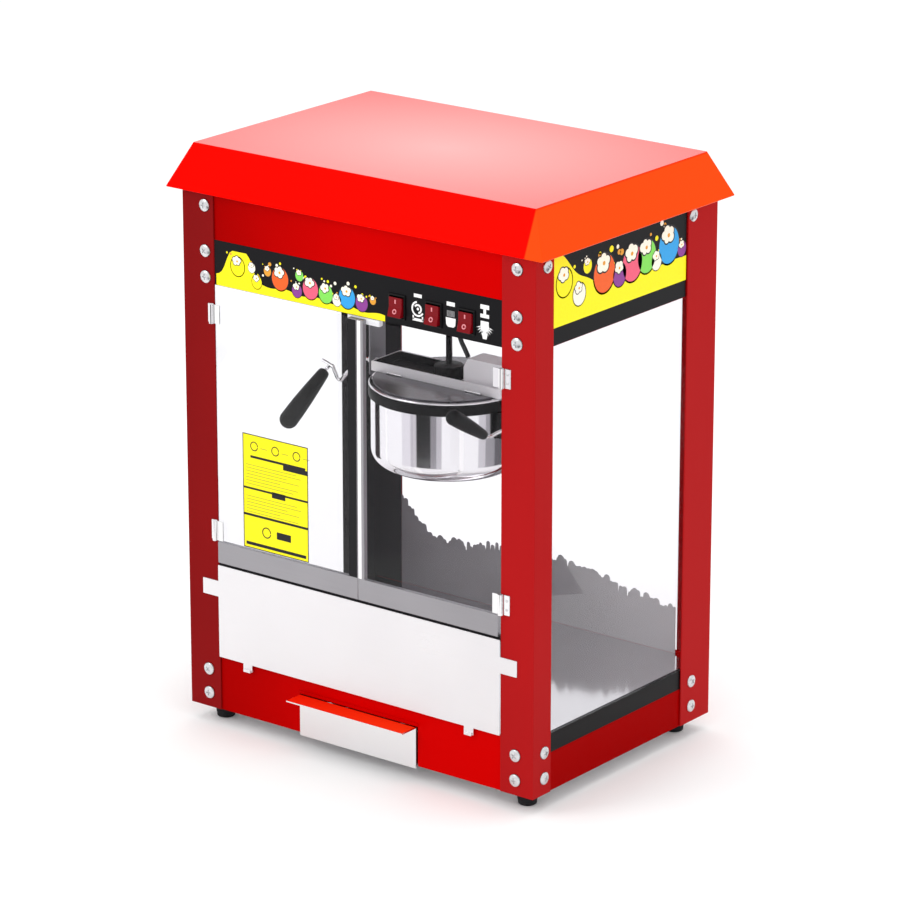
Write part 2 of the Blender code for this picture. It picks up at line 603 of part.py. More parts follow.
def make_lever(side, route, grip_end):
    """A bent steel rod from a trunnion pin and the tapered grip on its end."""
    tube(f"lever_{side}_rod", route, LEVER_ROD_RADIUS, "polished_steel", "kettle")
    start, end = Vector(route[-1]), Vector(grip_end)
    direction = (end - start).normalized()
    length = (end - start).length
    first = GAP * 3
    profile = [(0.0, first), (0.0065, first), (0.0080, first + 0.002)]
    profile += [(0.0080 + 0.0040 * share, first + length * share * 0.84) for share in (0.3, 0.6, 1.0)]
    profile += [(0.0113, length * 0.93), (0.0085, length * 0.98), (0.0, length)]
    grip = lathe(f"lever_{side}_grip", profile, start, "black_plastic", "kettle", segments=20)
    grip.rotation_mode = "QUATERNION"
    grip.rotation_quaternion = direction.to_track_quat("Z", "Y")


def make_levers():
    """The left lever hangs beside the kettle; the right one reaches forward past it."""
    y, z = TILT_AXIS[1:]
    left = [(-PIN_END - 4 * GAP, y, z), (-0.127, y, 0.4455), (-0.134, -0.008, 0.432), (-0.146, -0.010, 0.4285),
            (-0.161, -0.012, 0.4140), (-0.167, -0.013, 0.4230), (-0.174, -0.0115, 0.4300), (-0.180, -0.0136, 0.4252),
            (-0.180, -0.017, 0.4230)]
    make_lever("left", left, (-0.180, -0.096, 0.372))
    right = [(PIN_END + 4 * GAP, y, z), (0.127, y, 0.4455), (0.130, -0.014, 0.430), (0.128, -0.040, 0.420),
             (0.125, -0.067, 0.4160), (0.125, -0.0888, 0.4159), (0.125, -0.093, 0.4185)]
    make_lever("right", right, (0.125, -0.160, 0.4600))


def make_lead():
    """The heater's lead, from the ceiling to the terminal cover."""
    route = [(0.0370, -0.010, 0.4795), (0.0315, -0.010, 0.488), (0.0262, -0.010, 0.4966), (0.0225, -0.010, 0.507),
             (0.0215, -0.010, 0.520), (0.0245, -0.008, 0.533), (0.0320, -0.003, 0.545), (0.0430, 0.006, 0.556),
             (0.0530, 0.015, 0.569), (0.0600, 0.022, 0.583), (0.0620, 0.024, 0.5992)]
    tube("kettle_lead", route, LEAD_RADIUS, "cable_sheath", "cabinet", smoothing=1)


def main():
    clear_scene()
    make_paints()
    make_groups()
    make_posts()
    make_roof()
    make_headers()
    make_control_panel()
    make_base()
    make_feet()
    make_panes()
    make_lamp()
    make_inlet()
    make_door("left")
    make_door("right")
    make_flap()
    make_drawer()
    make_hanger()
    make_drive()
    make_pot()
    make_crossbar()
    make_lids()
    make_agitator()
    make_levers()
    make_lead()


main()
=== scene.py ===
"""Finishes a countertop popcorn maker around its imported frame: enamelled sheets, printed strips, switches,
doors, polished kettle, levers, lead, screws and a plain studio."""

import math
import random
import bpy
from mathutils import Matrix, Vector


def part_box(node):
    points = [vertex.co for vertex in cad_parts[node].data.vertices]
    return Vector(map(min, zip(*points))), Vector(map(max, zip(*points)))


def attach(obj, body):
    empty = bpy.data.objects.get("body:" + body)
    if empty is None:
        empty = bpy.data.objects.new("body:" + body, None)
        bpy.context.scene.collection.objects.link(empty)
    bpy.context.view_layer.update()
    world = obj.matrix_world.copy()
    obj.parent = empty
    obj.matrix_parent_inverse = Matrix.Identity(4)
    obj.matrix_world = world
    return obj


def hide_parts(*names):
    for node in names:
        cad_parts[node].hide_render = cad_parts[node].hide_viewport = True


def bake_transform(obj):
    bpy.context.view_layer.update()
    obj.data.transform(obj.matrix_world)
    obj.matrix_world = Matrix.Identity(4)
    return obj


bl_info = {
    "name": "Popcorn Maker Finish",
    "version": (1, 0, 0),
    "blender": (4, 5, 0),
    "location": "View3D > Sidebar > Popcorn Maker",
    "description": "Builds the visible pieces and finishes of a countertop popcorn maker",
    "category": "Object",
}

import bmesh
import bpy
from bpy.props import FloatProperty, PointerProperty, StringProperty
from mathutils import Matrix, Vector

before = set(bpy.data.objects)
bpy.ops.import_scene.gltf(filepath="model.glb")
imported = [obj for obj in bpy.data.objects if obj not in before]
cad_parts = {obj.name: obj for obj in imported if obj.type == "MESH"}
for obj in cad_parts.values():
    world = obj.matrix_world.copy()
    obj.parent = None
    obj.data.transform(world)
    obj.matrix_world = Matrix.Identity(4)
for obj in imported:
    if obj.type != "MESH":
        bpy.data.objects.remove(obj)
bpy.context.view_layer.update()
MM = 0.001

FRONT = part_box("post_front_left")[0][1]
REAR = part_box("post_rear_left")[1][1]
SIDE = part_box("post_front_right")[1][0]
MIDDLE_Y = (FRONT + REAR) / 2
SHEET_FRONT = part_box("control_panel")[0][1]
SHEET_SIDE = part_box("side_header_right")[1][0]
DECK_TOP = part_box("deck")[1][2]
CORNERS = ((-1, -1), (1, -1), (1, 1), (-1, 1))
SIDES = (("left", -1), ("right", 1))
MERGE = 0.00001
INK = 0.00012
ORANGE_PEEL = 1.6 * MM
FILM_SEED = 11
FRONT_STRIP_SEED = 3
SIDE_STRIP_SEED = 5
SIDE_STRIP_TOP = 0.6750
SCREW_RADIUS = 0.0078
SCREW_HEIGHT = 0.0032
FACE_SCREWS = (0.659, 0.603, 0.571, 0.070, 0.039)
SIDE_SCREWS = (0.662, 0.073, 0.041)
ROCKER_TILT = math.radians(8)
PIVOT_HEIGHT = 0.447
CARD_CENTRE = (0.03, MIDDLE_Y - 0.09)
CARD_NEAR, CARD_FAR = 0.85, 2.4
CAMERA_TARGET = (0.0012, MIDDLE_Y, 0.3527)
LIGHT_TARGET = (0, 0, 0.45)


def linear(code):
    """An sRGB hex colour as linear RGBA."""
    channels = [int(code[at:at + 2], 16) / 255 for at in (0, 2, 4)]
    return tuple(c / 12.92 if c <= 0.04045 else ((c + 0.055) / 1.055) ** 2.4 for c in channels) + (1.0,)


# ---------------------------------------------------------------- node and material helpers


def add(tree, kind, settings=None, **inputs):
    """Adds a shader node, sets its properties, and sets or links its inputs. A link is (node, output name);
    i0, i1 and so on are inputs by number."""
    node = tree.nodes.new("ShaderNode" + kind)
    for key, value in (settings or {}).items():
        setattr(node, key, value)
    for key, value in inputs.items():
        name = key.replace("_", " ")
        socket = node.inputs[int(name[1:])] if name[0] == "i" and name[1:].isdigit() else node.inputs[name]
        if isinstance(value, tuple) and isinstance(value[0], bpy.types.Node):
            tree.links.new(value[0].outputs[value[1]], socket)
        else:
            socket.default_value = value
    return node


def new_material(name):
    """A material with an empty tree, its output and object coordinates."""
    made = bpy.data.materials.new(name)
    made.use_nodes = True
    tree = made.node_tree
    tree.nodes.clear()
    place = add(tree, "TexCoord")
    return made, tree, (place, "Object")


def finish_material(made, tree, shader, colour):
    """Links the shader to the output and gives the viewport colour."""
    out = add(tree, "OutputMaterial")
    tree.links.new(shader.outputs[0], out.inputs["Surface"])
    made.diffuse_color = colour
    return made


def enamel(name, code, dark_code, roughness=0.30, specular=0.12, axis="Z", span=(1.0, 0.0)):
    """Powder-coated enamel on sheet steel: an even gloss with a faint orange peel. Its tone runs from
    code to dark_code along an axis, which stands in for light that falls off across the cabinet."""
    made, tree, place = new_material(name)
    broad = add(tree, "TexNoise", Vector=place, Scale=5.0, Detail=2.0)
    split = add(tree, "SeparateXYZ", Vector=place)
    along = add(tree, "MapRange", Value=(split, axis), From_Min=span[0], From_Max=span[1])
    drift = add(tree, "MapRange", Value=(broad, "Fac"), To_Min=-0.2, To_Max=0.2)
    share = add(tree, "Math", {"operation": "ADD", "use_clamp": True}, i0=(along, "Result"),
                i1=(drift, "Result"))
    tone = add(tree, "Mix", {"data_type": "RGBA"}, i0=(share, "Value"), i6=linear(code),
               i7=linear(dark_code))
    peel = add(tree, "TexNoise", Vector=place, Scale=1 / ORANGE_PEEL, Detail=1.0)
    bump = add(tree, "Bump", Height=(peel, "Fac"), Strength=0.06, Distance=0.05 * MM)
    fine = add(tree, "MapRange", Value=(broad, "Fac"), To_Min=roughness - 0.04, To_Max=roughness + 0.05)
    shader = add(tree, "BsdfPrincipled", Roughness=(fine, "Result"), Normal=(bump, "Normal"))
    tree.links.new(tone.outputs[2], shader.inputs["Base Color"])
    shader.inputs["Specular IOR Level"].default_value = specular
    return finish_material(made, tree, shader, linear(code))


def roof_enamel(name, code, flank_painted_light_code):
    """Gloss enamel on the canopy: red with a white gloss at a low angle whose strength is a painted
    highlight, strongest in the middle of the top, and painted orange light on the right-hand skirt."""
    made, tree, place = new_material(name)
    split = add(tree, "SeparateXYZ", Vector=place)
    low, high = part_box("roof")
    # Painted light: the right-hand skirt turns orange.
    flank = add(tree, "MapRange", Value=(split, "X"), From_Min=high[0] - 0.0262, From_Max=high[0] - 0.0242)
    tone = add(tree, "Mix", {"data_type": "RGBA"}, i0=(flank, "Result"), i6=linear(code),
               i7=linear(flank_painted_light_code))
    # Painted highlight: the white gloss is strongest in the middle of the top.
    middle = add(tree, "Mapping", Vector=place, Location=(0.0, 0.0, -high[2] * 2.1), Scale=(2.3, 2.9, 2.1))
    round_off = add(tree, "TexGradient", {"gradient_type": "SPHERICAL"}, Vector=(middle, "Vector"))
    painted_highlight_strength = add(tree, "MapRange", Value=(round_off, "Fac"), To_Min=0.20, To_Max=0.54)
    peel = add(tree, "TexNoise", Vector=place, Scale=1 / ORANGE_PEEL, Detail=1.0)
    bump = add(tree, "Bump", Height=(peel, "Fac"), Strength=0.05, Distance=0.05 * MM)
    facing = add(tree, "LayerWeight", Blend=0.5)
    low_angle = add(tree, "MapRange", Value=(facing, "Facing"), From_Min=0.48, From_Max=0.68)
    share = add(tree, "Math", {"operation": "MULTIPLY"}, i0=(painted_highlight_strength, "Result"), i1=(low_angle, "Result"))
    coat = add(tree, "BsdfPrincipled", Roughness=0.3, Normal=(bump, "Normal"))
    coat.inputs["Specular IOR Level"].default_value = 0.01
    tree.links.new(tone.outputs[2], coat.inputs["Base Color"])
    painted_highlight_gloss = add(tree, "BsdfGlossy", Color=linear("FFF6F4"), Roughness=0.4, Normal=(bump, "Normal"))
    mix = add(tree, "MixShader", i0=(share, "Value"), i1=(coat, "BSDF"), i2=(painted_highlight_gloss, "BSDF"))
    return finish_material(made, tree, mix, linear(code))


def steel(name, code, roughness, grain_mm, grain_axis, strength=0.10, metallic=1.0):
    """Stainless steel. Satin sheet carries fine scratches along its rolling direction; polished steel
    keeps only a trace of them. Grain spacing is drawn coarser than life so that it shows."""
    made, tree, place = new_material(name)
    stretch = [1 / (grain_mm * MM)] * 3
    stretch["XYZ".index(grain_axis)] = 1 / (60 * MM)
    scaled = add(tree, "Mapping", Vector=place, Scale=tuple(stretch))
    grain = add(tree, "TexNoise", Vector=(scaled, "Vector"), Scale=1.0, Detail=3.0)
    haze = add(tree, "TexNoise", Vector=place, Scale=9.0, Detail=2.0)
    both = add(tree, "Math", {"operation": "ADD"}, i0=(grain, "Fac"), i1=(haze, "Fac"))
    rough = add(tree, "MapRange", Value=(both, "Value"), From_Min=0.6, From_Max=1.4,
                To_Min=roughness * 0.75, To_Max=roughness * 1.35)
    bump = add(tree, "Bump", Height=(grain, "Fac"), Strength=strength, Distance=0.02 * MM)
    shader = add(tree, "BsdfPrincipled", Base_Color=linear(code), Metallic=metallic,
                 Roughness=(rough, "Result"), Normal=(bump, "Normal"))
    return finish_material(made, tree, shader, linear(code))


def spun_steel(name, code):
    """Spun and polished stainless: rings of fine tool marks about the vertical axis, which stretch each
    reflection upwards and leave its sides sharp."""
    made, tree, place = new_material(name)
    rings = add(tree, "Mapping", Vector=place, Scale=(8.0, 8.0, 1 / (0.5 * MM)))
    marks = add(tree, "TexNoise", Vector=(rings, "Vector"), Scale=1.0, Detail=2.0)
    rough = add(tree, "MapRange", Value=(marks, "Fac"), To_Min=0.06, To_Max=0.13)
    around = add(tree, "Tangent", {"direction_type": "RADIAL", "axis": "Z"})
    shader = add(tree, "BsdfPrincipled", Base_Color=linear(code), Metallic=1.0, Anisotropic=0.75,
                 Anisotropic_Rotation=0.25, Roughness=(rough, "Result"), Tangent=(around, "Tangent"))
    return finish_material(made, tree, shader, linear(code))


def moulded(name, code, roughness, grit_mm=0.6, strength=0.15, specular=0.5):
    """Moulded plastic or rubber: a fine spark-eroded grain with a slightly uneven gloss."""
    made, tree, place = new_material(name)
    grit = add(tree, "TexNoise", Vector=place, Scale=1 / (grit_mm * MM), Detail=2.0)
    rough = add(tree, "MapRange", Value=(grit, "Fac"), To_Min=roughness - 0.06, To_Max=roughness + 0.08)
    bump = add(tree, "Bump", Height=(grit, "Fac"), Strength=strength, Distance=0.05 * MM)
    shader = add(tree, "BsdfPrincipled", Base_Color=linear(code), Roughness=(rough, "Result"),
                 Normal=(bump, "Normal"))
    shader.inputs["Specular IOR Level"].default_value = specular
    return finish_material(made, tree, shader, linear(code))


def printed(name, code, roughness=0.38):
    """Screen-printed vinyl film: flat ink with a faint mottle and a soft sheen."""
    made, tree, place = new_material(name)
    mottle = add(tree, "TexNoise", Vector=place, Scale=1 / (3 * MM), Detail=1.0)
    value = add(tree, "MapRange", Value=(mottle, "Fac"), To_Min=0.94, To_Max=1.04)
    ink = add(tree, "HueSaturation", Color=linear(code), Value=(value, "Result"))
    shader = add(tree, "BsdfPrincipled", Base_Color=(ink, "Color"), Roughness=roughness)
    shader.inputs["Specular IOR Level"].default_value = 0.25
    return finish_material(made, tree, shader, linear(code))


def pane_glass(name, code="FBFBFC", gloss=0.07):
    """Float glass: clear, with a reflection that grows towards grazing angles."""
    made, tree, _ = new_material(name)
    fresnel = add(tree, "Fresnel", IOR=1.45)
    share = add(tree, "Math", {"operation": "MULTIPLY"}, i0=(fresnel, "Fac"), i1=gloss)
    through = add(tree, "BsdfTransparent", Color=linear(code))
    mirror = add(tree, "BsdfGlossy", Color=linear("FFFFFF"), Roughness=0.015)
    mix = add(tree, "MixShader", i0=(share, "Value"), i1=(through, "BSDF"), i2=(mirror, "BSDF"))
    return finish_material(made, tree, mix, (*linear(code)[:3], 0.2))


# ---------------------------------------------------------------- mesh helpers


def scene_object(name, data):
    """An object of some data, linked into the scene."""
    made = bpy.data.objects.new(name, data)
    bpy.context.scene.collection.objects.link(made)
    return made


def mesh_object(name, shape, materials, smooth=False, angle=35):
    """Makes an object of a bmesh, with outward faces."""
    bmesh.ops.recalc_face_normals(shape, faces=shape.faces)
    mesh = bpy.data.meshes.new(name)
    shape.to_mesh(mesh)
    shape.free()
    if smooth:
        mesh.shade_smooth()
        mesh.set_sharp_from_angle(angle=math.radians(angle))
    for material in materials:
        mesh.materials.append(material)
    return scene_object(name, mesh)


def block(shape, low, high, index=0):
    """Adds a block between two corners to a bmesh."""
    made = bmesh.ops.create_cube(shape, size=1.0)
    low, high = Vector(low), Vector(high)
    bmesh.ops.scale(shape, vec=high - low, verts=made["verts"])
    bmesh.ops.translate(shape, vec=(low + high) / 2, verts=made["verts"])
    for face in {f for v in made["verts"] for f in v.link_faces}:
        face.material_index = index


def soften(piece, width=0.0006, segments=2):
    """Rolls a piece's edges over, as folded and deburred sheet has them."""
    weld = piece.modifiers.new("weld", "WELD")
    weld.merge_threshold = MERGE
    bevel = piece.modifiers.new("edges", "BEVEL")
    bevel.width = width
    bevel.segments = segments
    bevel.limit_method = "ANGLE"
    bevel.angle_limit = math.radians(40)


def blocks(name, material, corners, edge=0.0, segments=2):
    """A piece made of blocks, each between two corners, with rolled edges where asked."""
    shape = bmesh.new()
    for low, high in corners:
        block(shape, low, high)
    made = mesh_object(name, shape, [material])
    if edge:
        soften(made, edge, segments)
    return made


def turned(name, profile, centre, axis, materials, segments=96, angle=35):
    """A piece turned about axis through centre; the profile is (radius, height along the axis)."""
    shape = bmesh.new()
    rings = []
    for radius, height in profile:
        if radius == 0.0:
            rings.append([shape.verts.new((0, 0, height))])
            continue
        steps = [2 * math.pi * k / segments for k in range(segments)]
        rings.append([shape.verts.new((radius * math.cos(t), radius * math.sin(t), height)) for t in steps])
    closed = profile[0][0] > 0 and profile[-1][0] > 0
    pairs = list(zip(rings, rings[1:])) + ([(rings[-1], rings[0])] if closed else [])
    for lower, upper in pairs:
        for k in range(segments):
            after = (k + 1) % segments
            corners = [lower[k % len(lower)], lower[after % len(lower)], upper[after % len(upper)],
                       upper[k % len(upper)]]
            shape.faces.new(list(dict.fromkeys(corners)))
    turn = Vector(axis).to_track_quat("Z", "Y").to_matrix().to_4x4()
    bmesh.ops.transform(shape, matrix=Matrix.Translation(centre) @ turn, verts=shape.verts)
    return mesh_object(name, shape, materials, smooth=True, angle=angle)


def arc(centre, radius, start, end, steps):
    """Points on an arc, in degrees."""
    turns = [math.radians(start + (end - start) * k / steps) for k in range(steps + 1)]
    return [(centre[0] + radius * math.cos(t), centre[1] + radius * math.sin(t)) for t in turns]


def bent_rod(name, route, radius, materials, sides=16):
    """A round rod along a smooth curve through its points, as a mesh with flat capped ends."""
    curve = bpy.data.curves.new(name, "CURVE")
    curve.dimensions = "3D"
    curve.bevel_depth = radius
    curve.bevel_resolution = sides // 4
    curve.use_fill_caps = True
    curve.resolution_u = 8
    spline = curve.splines.new("BEZIER")
    spline.bezier_points.add(len(route) - 1)
    for knot, spot in zip(spline.bezier_points, route):
        knot.co = spot
        knot.handle_left_type = "AUTO"
        knot.handle_right_type = "AUTO"
    guide = scene_object(name + "_guide", curve)
    bpy.context.view_layer.update()
    mesh = bpy.data.meshes.new_from_object(guide.evaluated_get(bpy.context.evaluated_depsgraph_get()))
    bpy.data.objects.remove(guide)
    mesh.shade_smooth()
    mesh.set_sharp_from_angle(angle=math.radians(50))
    mesh.materials.clear()
    for material in materials:
        mesh.materials.append(material)
    return scene_object(name, mesh)


def plate(shape, outline, place, thickness, index):
    """Adds a thin plate to a bmesh. The outline is in the plane's own (u, v); place turns (u, v, depth)
    into a point, with depth outwards."""
    near = [shape.verts.new(place(u, v, 0.0)) for u, v in outline]
    far = [shape.verts.new(place(u, v, thickness)) for u, v in outline]
    faces = [shape.faces.new(near), shape.faces.new(far)]
    for k in range(len(outline)):
        after = (k + 1) % len(outline)
        faces.append(shape.faces.new((near[k], near[after], far[after], far[k])))
    for face in faces:
        face.material_index = index


def circle(u, v, radius, steps=24, squash=1.0):
    """Points round a circle, or an upright oval."""
    turns = [2 * math.pi * k / steps for k in range(steps)]
    return [(u + radius * math.cos(t), v + squash * radius * math.sin(t)) for t in turns]


def oblong(u0, u1, v0, v1):
    """The four corners of an oblong."""
    return [(u0, v0), (u1, v0), (u1, v1), (u0, v1)]


def from_middle(route):
    """Moves a route measured from the cabinet's middle to where the cabinet stands."""
    return [(x, MIDDLE_Y + y, z) for x, y, z in route]


def repaint(names, material, edge=0.0):
    """Gives CAD nodes a finish and, where asked, rolled edges."""
    for name in names:
        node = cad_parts[name]
        node.data.materials.clear()
        node.data.materials.append(material)
        if edge:
            soften(node, edge)


# ---------------------------------------------------------------- palette


class Palette:
    """The finishes, made once by the first operator."""


def make_palette():
    """Makes every shared finish, under the name of the real one or of the light painted into it."""
    look = bpy.context.scene.popcorn_finish
    # Powder coat: deep red with hardly any shine, so the folds read by tone alone. The posts darken towards
    # the left as painted shade.
    Palette.red = enamel("red_powder_coat_post", look.post_red, look.post_painted_shade, specular=0.03,
                         axis="X", span=(0.26, -0.26))
    # The sheets darken towards the left as painted shade.
    Palette.bright = enamel("red_powder_coat_sheet", look.sheet_red, look.sheet_painted_shade, specular=0.01,
                            axis="X", span=(0.0, -0.24))
    # The side sheets get a darker copy of the sheet coat as painted shade, darker still towards the bottom.
    Palette.side = enamel("red_powder_coat_side_sheet_painted_shade", look.side_painted_shade_red, look.sheet_painted_shade, specular=0.01)
    # Painted reflection: the red front as the polished drawer lip reflects it, oranger towards the right.
    Palette.lip = enamel("red_lip_painted_reflection", "FA3410", "F01C06", specular=0.02,
                         axis="X", span=(0.09, -0.09))
    # Gloss enamel: a strong red with a painted pale highlight at a low angle and painted orange light on the
    # right skirt.
    Palette.roof = roof_enamel("red_gloss_enamel_roof", look.roof_red, look.roof_flank_painted_light)
    # The black coat is darker towards the bottom as painted shade.
    Palette.black = enamel("black_powder_coat", look.black, "08080A", 0.34, 0.12)
    # Stainless steel: satin sheet blurs what it reflects, polished steel shows it sharply.
    Palette.satin = steel("satin_stainless_sheet", "E6E4E6", 0.34, 0.5, "X")
    Palette.rail = steel("satin_stainless_door_rail", "A19FA3", 0.40, 0.5, "X")
    Palette.mirror = steel("mirror_polished_stainless", "E8E7E8", 0.07, 0.6, "X", 0.02)
    Palette.spun = spun_steel("spun_polished_stainless", "ECEAEC")
    Palette.deck = steel("polished_deck_stainless", look.deck, 0.10, 0.7, "Y", 0.04)
    # The lids' dark grey is a painted reflection of the dark duct above them.
    Palette.tempered = steel("darkened_stainless_lid_painted_reflection", "6E6B70", 0.22, 0.6, "X", 0.04)
    Palette.hanger = steel("dull_galvanised_hanger", "7C7A7E", 0.45, 0.6, "Z")
    # Coated aluminium, which stays pale where bare metal would mirror the room.
    Palette.cover = steel("satin_aluminium_cover", "FCFAFC", 0.45, 0.6, "X", 0.08, 0.05)
    Palette.zinc = steel("zinc_plated_screw", "D8D8DA", 0.26, 0.4, "Z")
    # Plastics and rubber: near black, with a soft broken highlight from the mould's grain.
    Palette.phenolic = moulded("moulded_black_phenolic", "0C0C0D", 0.46, 0.8, 0.1, 0.12)
    Palette.rubber = moulded("black_rubber", "17171A", 0.80, 0.5, 0.3, 0.3)
    Palette.sheath = moulded("silicone_cable_sheath", "232326", 0.55, 0.5)
    Palette.ring = moulded("heat_resistant_black_band", "0A0A0B", 0.42, 1.0, 0.1, 0.10)
    # Float glass: almost invisible face on, a faint mirror at a low angle.
    Palette.glass = pane_glass("clear_float_glass")
    Palette.rocker = moulded("translucent_red_polycarbonate", "7A0410", 0.22, 1.5, 0.03, 0.15)
    Palette.mark = moulded("pale_pink_tampo_print", "E58A92", 0.45, 1.0, 0.02)
    # Inks and films: flat, slightly mottled colour with no gloss of its own.
    Palette.white = printed("white_screen_print", "FAFAFA")
    Palette.grey = printed("grey_screen_print", "8A8A8C")
    Palette.yellow = printed("yellow_vinyl_film", look.yellow)
    Palette.inks = [printed(name, code) for name, code in (
        ("black_ink", "17151A"), ("cream_ink", "FFFBE8"), ("orange_ink", "F4611C"), ("pink_ink", "F2607E"),
        ("green_ink", "84E05A"), ("blue_ink", "2FA4E8"), ("violet_ink", "8E3D96"), ("amber_ink", "E8A030"))]
    # The film darkens towards its left end as painted shade.
    Palette.film = enamel("grey_frosted_film", look.film, look.film_left_painted_shade, 0.5, 0.05, "X", (0.24, -0.20))


# ---------------------------------------------------------------- cabinet


def paint_cabinet():
    """Gives the cabinet's sheets, posts, panes and deck their finishes."""
    sheets = ["front_header", "rear_header", "side_header_left", "side_header_right", "base_front",
              "base_rear", "base_side_left", "base_side_right"]
    posts = [f"post_{end}_{side}" for end in ("front", "rear") for side in ("left", "right")]
    repaint(sheets, Palette.bright)
    # The side sheets take the darker copy of the coat, which is painted shade.
    repaint([name for name in sheets if "side" in name], Palette.side)
    repaint(posts, Palette.red, 0.0007)
    repaint(["roof"], Palette.roof, 0.0007)
    repaint(["control_panel", "lower_rail_left", "lower_rail_right"], Palette.black)
    repaint(["bottom_plate", "ceiling_plate", "gear_motor", "heater_plate"], Palette.satin)
    repaint(["kettle_hanger"], Palette.hanger, 0.0004)
    repaint(["deck"], Palette.deck)
    # Left out of reflections, so that they don't cross the kettle's bands.
    for name in ("post_front_left", "post_front_right", "door_left_frame", "door_right_frame"):
        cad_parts[name].visible_glossy = False
    repaint(["side_glass_left", "side_glass_right", "rear_glass", "door_left_glass", "door_right_glass"],
            Palette.glass)


def build_glazing_angle():
    """The dark angle inside the rear left post, down to the deck."""
    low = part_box("side_glass_left")[0]
    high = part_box("side_glass_left")[1]
    pane_x = high[0] + 0.0004
    pane_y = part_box("rear_glass")[0][1] - 0.0004
    shape = bmesh.new()
    edge = -SIDE + 0.0505
    outline = [(pane_x, pane_y - 0.0635), (pane_x + 0.001, pane_y - 0.0635), (pane_x + 0.001, pane_y - 0.001),
               (edge, pane_y - 0.001), (edge, pane_y), (pane_x, pane_y)]
    plate(shape, outline, lambda u, v, d: (u, v, low[2] + d), high[2] - low[2], 0)
    block(shape, (pane_x + 0.0012, pane_y - 0.001, DECK_TOP + 0.0005), (edge, pane_y, low[2] - 0.0001))
    anodised = moulded("black_anodised_angle", "201E21", 0.5, 1.0, 0.1, 0.1)
    angle = mesh_object("glazing_angle_left", shape, [anodised])
    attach(angle, "cabinet")


def build_film():
    """A grey film on the rear pane's inner face, darker towards its left end as painted shade, cut along the
    top like a heap of popcorn.
    """
    draw = random.Random(FILM_SEED)
    low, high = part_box("rear_glass")
    face = low[1] - 0.0003
    floor = DECK_TOP + 0.0002
    heights = [(-0.2126, 0.203), (-0.206, 0.200), (-0.196, 0.188), (-0.180, 0.172), (-0.155, 0.154),
               (-0.105, 0.160), (-0.054, 0.171), (0.000, 0.165), (0.027, 0.172), (0.098, 0.161),
               (0.140, 0.154), (0.216, 0.142)]

    def crest(x):
        for (x0, z0), (x1, z1) in zip(heights, heights[1:]):
            if x0 <= x <= x1:
                return z0 + (z1 - z0) * (x - x0) / (x1 - x0)
        return heights[-1][1]

    kernels = []
    x = heights[0][0]
    while x < heights[-1][0]:
        kernels.append((x, crest(x) + draw.uniform(-0.004, 0.005), draw.uniform(0.0022, 0.0052)))
        x += draw.uniform(0.003, 0.0075)
    outline = [(heights[0][0], floor)]
    steps = 540
    for k in range(steps + 1):
        x = heights[0][0] + (heights[-1][0] - heights[0][0]) * k / steps
        tops = [z + math.sqrt(r * r - (x - at) ** 2) for at, z, r in kernels if abs(x - at) < r]
        outline.append((x, max(tops + [crest(x) - 0.006])))
    outline.append((heights[-1][0], floor))
    shape = bmesh.new()
    plate(shape, outline, lambda u, v, d: (u, face - d, v), 0.0002, 0)
    film = mesh_object("rear_pane_film", shape, [Palette.film])
    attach(film, "cabinet")


def screw_mesh():
    """A truss-head screw with a cross recess, standing along +Z from its seat."""
    radius, height = SCREW_RADIUS, SCREW_HEIGHT
    profile = [(0.0, 0.0), (radius, 0.0), (radius, 0.0006)]
    profile += [(radius * math.cos(math.radians(t)), 0.0006 + (height - 0.0006) * math.sin(math.radians(t)))
                for t in (18, 36, 54, 72)] + [(0.0, height)]
    head = turned("screw_head", profile, (0, 0, 0), (0, 0, 1), [Palette.zinc], 32, 40)
    tools = []
    for name, x, y in (("screw_slot_a", 0.0036, 0.0007), ("screw_slot_b", 0.0007, 0.0036)):
        shape = bmesh.new()
        block(shape, (-x, -y, 0.0012), (x, y, 0.006))
        tools.append(mesh_object(name, shape, []))
    for tool in tools:
        cut = head.modifiers.new("cut", "BOOLEAN")
        cut.operation = "DIFFERENCE"
        cut.object = tool
    bpy.context.view_layer.update()
    mesh = bpy.data.meshes.new_from_object(head.evaluated_get(bpy.context.evaluated_depsgraph_get()))
    for old in (head, *tools):
        bpy.data.objects.remove(old)
    mesh.shade_smooth()
    mesh.set_sharp_from_angle(angle=math.radians(30))
    return mesh


def build_screws():
    """Screws down the posts: two below on every face, three above in front and behind, and one above at
    the sides."""
    mesh = screw_mesh()
    spots = []
    for side, sx in SIDES:
        for z in FACE_SCREWS:
            inset = 0.2375 if side == "right" else 0.2285 if z > 0.5 else 0.2335
            spots.append((f"front_{side}", (sx * inset, FRONT, z), (0, -1, 0)))
            spots.append((f"rear_{side}", (sx * 0.2375, REAR, z), (0, 1, 0)))
        for z in SIDE_SCREWS:
            spots.append((f"side_front_{side}", (sx * SIDE, MIDDLE_Y - 0.158, z), (sx, 0, 0)))
            depth = 0.129 if z > 0.5 else 0.141
            spots.append((f"side_rear_{side}", (sx * SIDE, MIDDLE_Y + depth, z), (sx, 0, 0)))
    for number, (name, spot, out) in enumerate(spots):
        screw = scene_object(f"screw_{name}_{number:02d}", mesh)
        turn = Matrix.Rotation(math.radians(23 * number), 4, "Z")
        aim = Vector(out).to_track_quat("Z", "Y").to_matrix().to_4x4()
        screw.matrix_world = Matrix.Translation(Vector(spot) + Vector(out) * 0.00005) @ aim @ turn
        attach(screw, "cabinet")


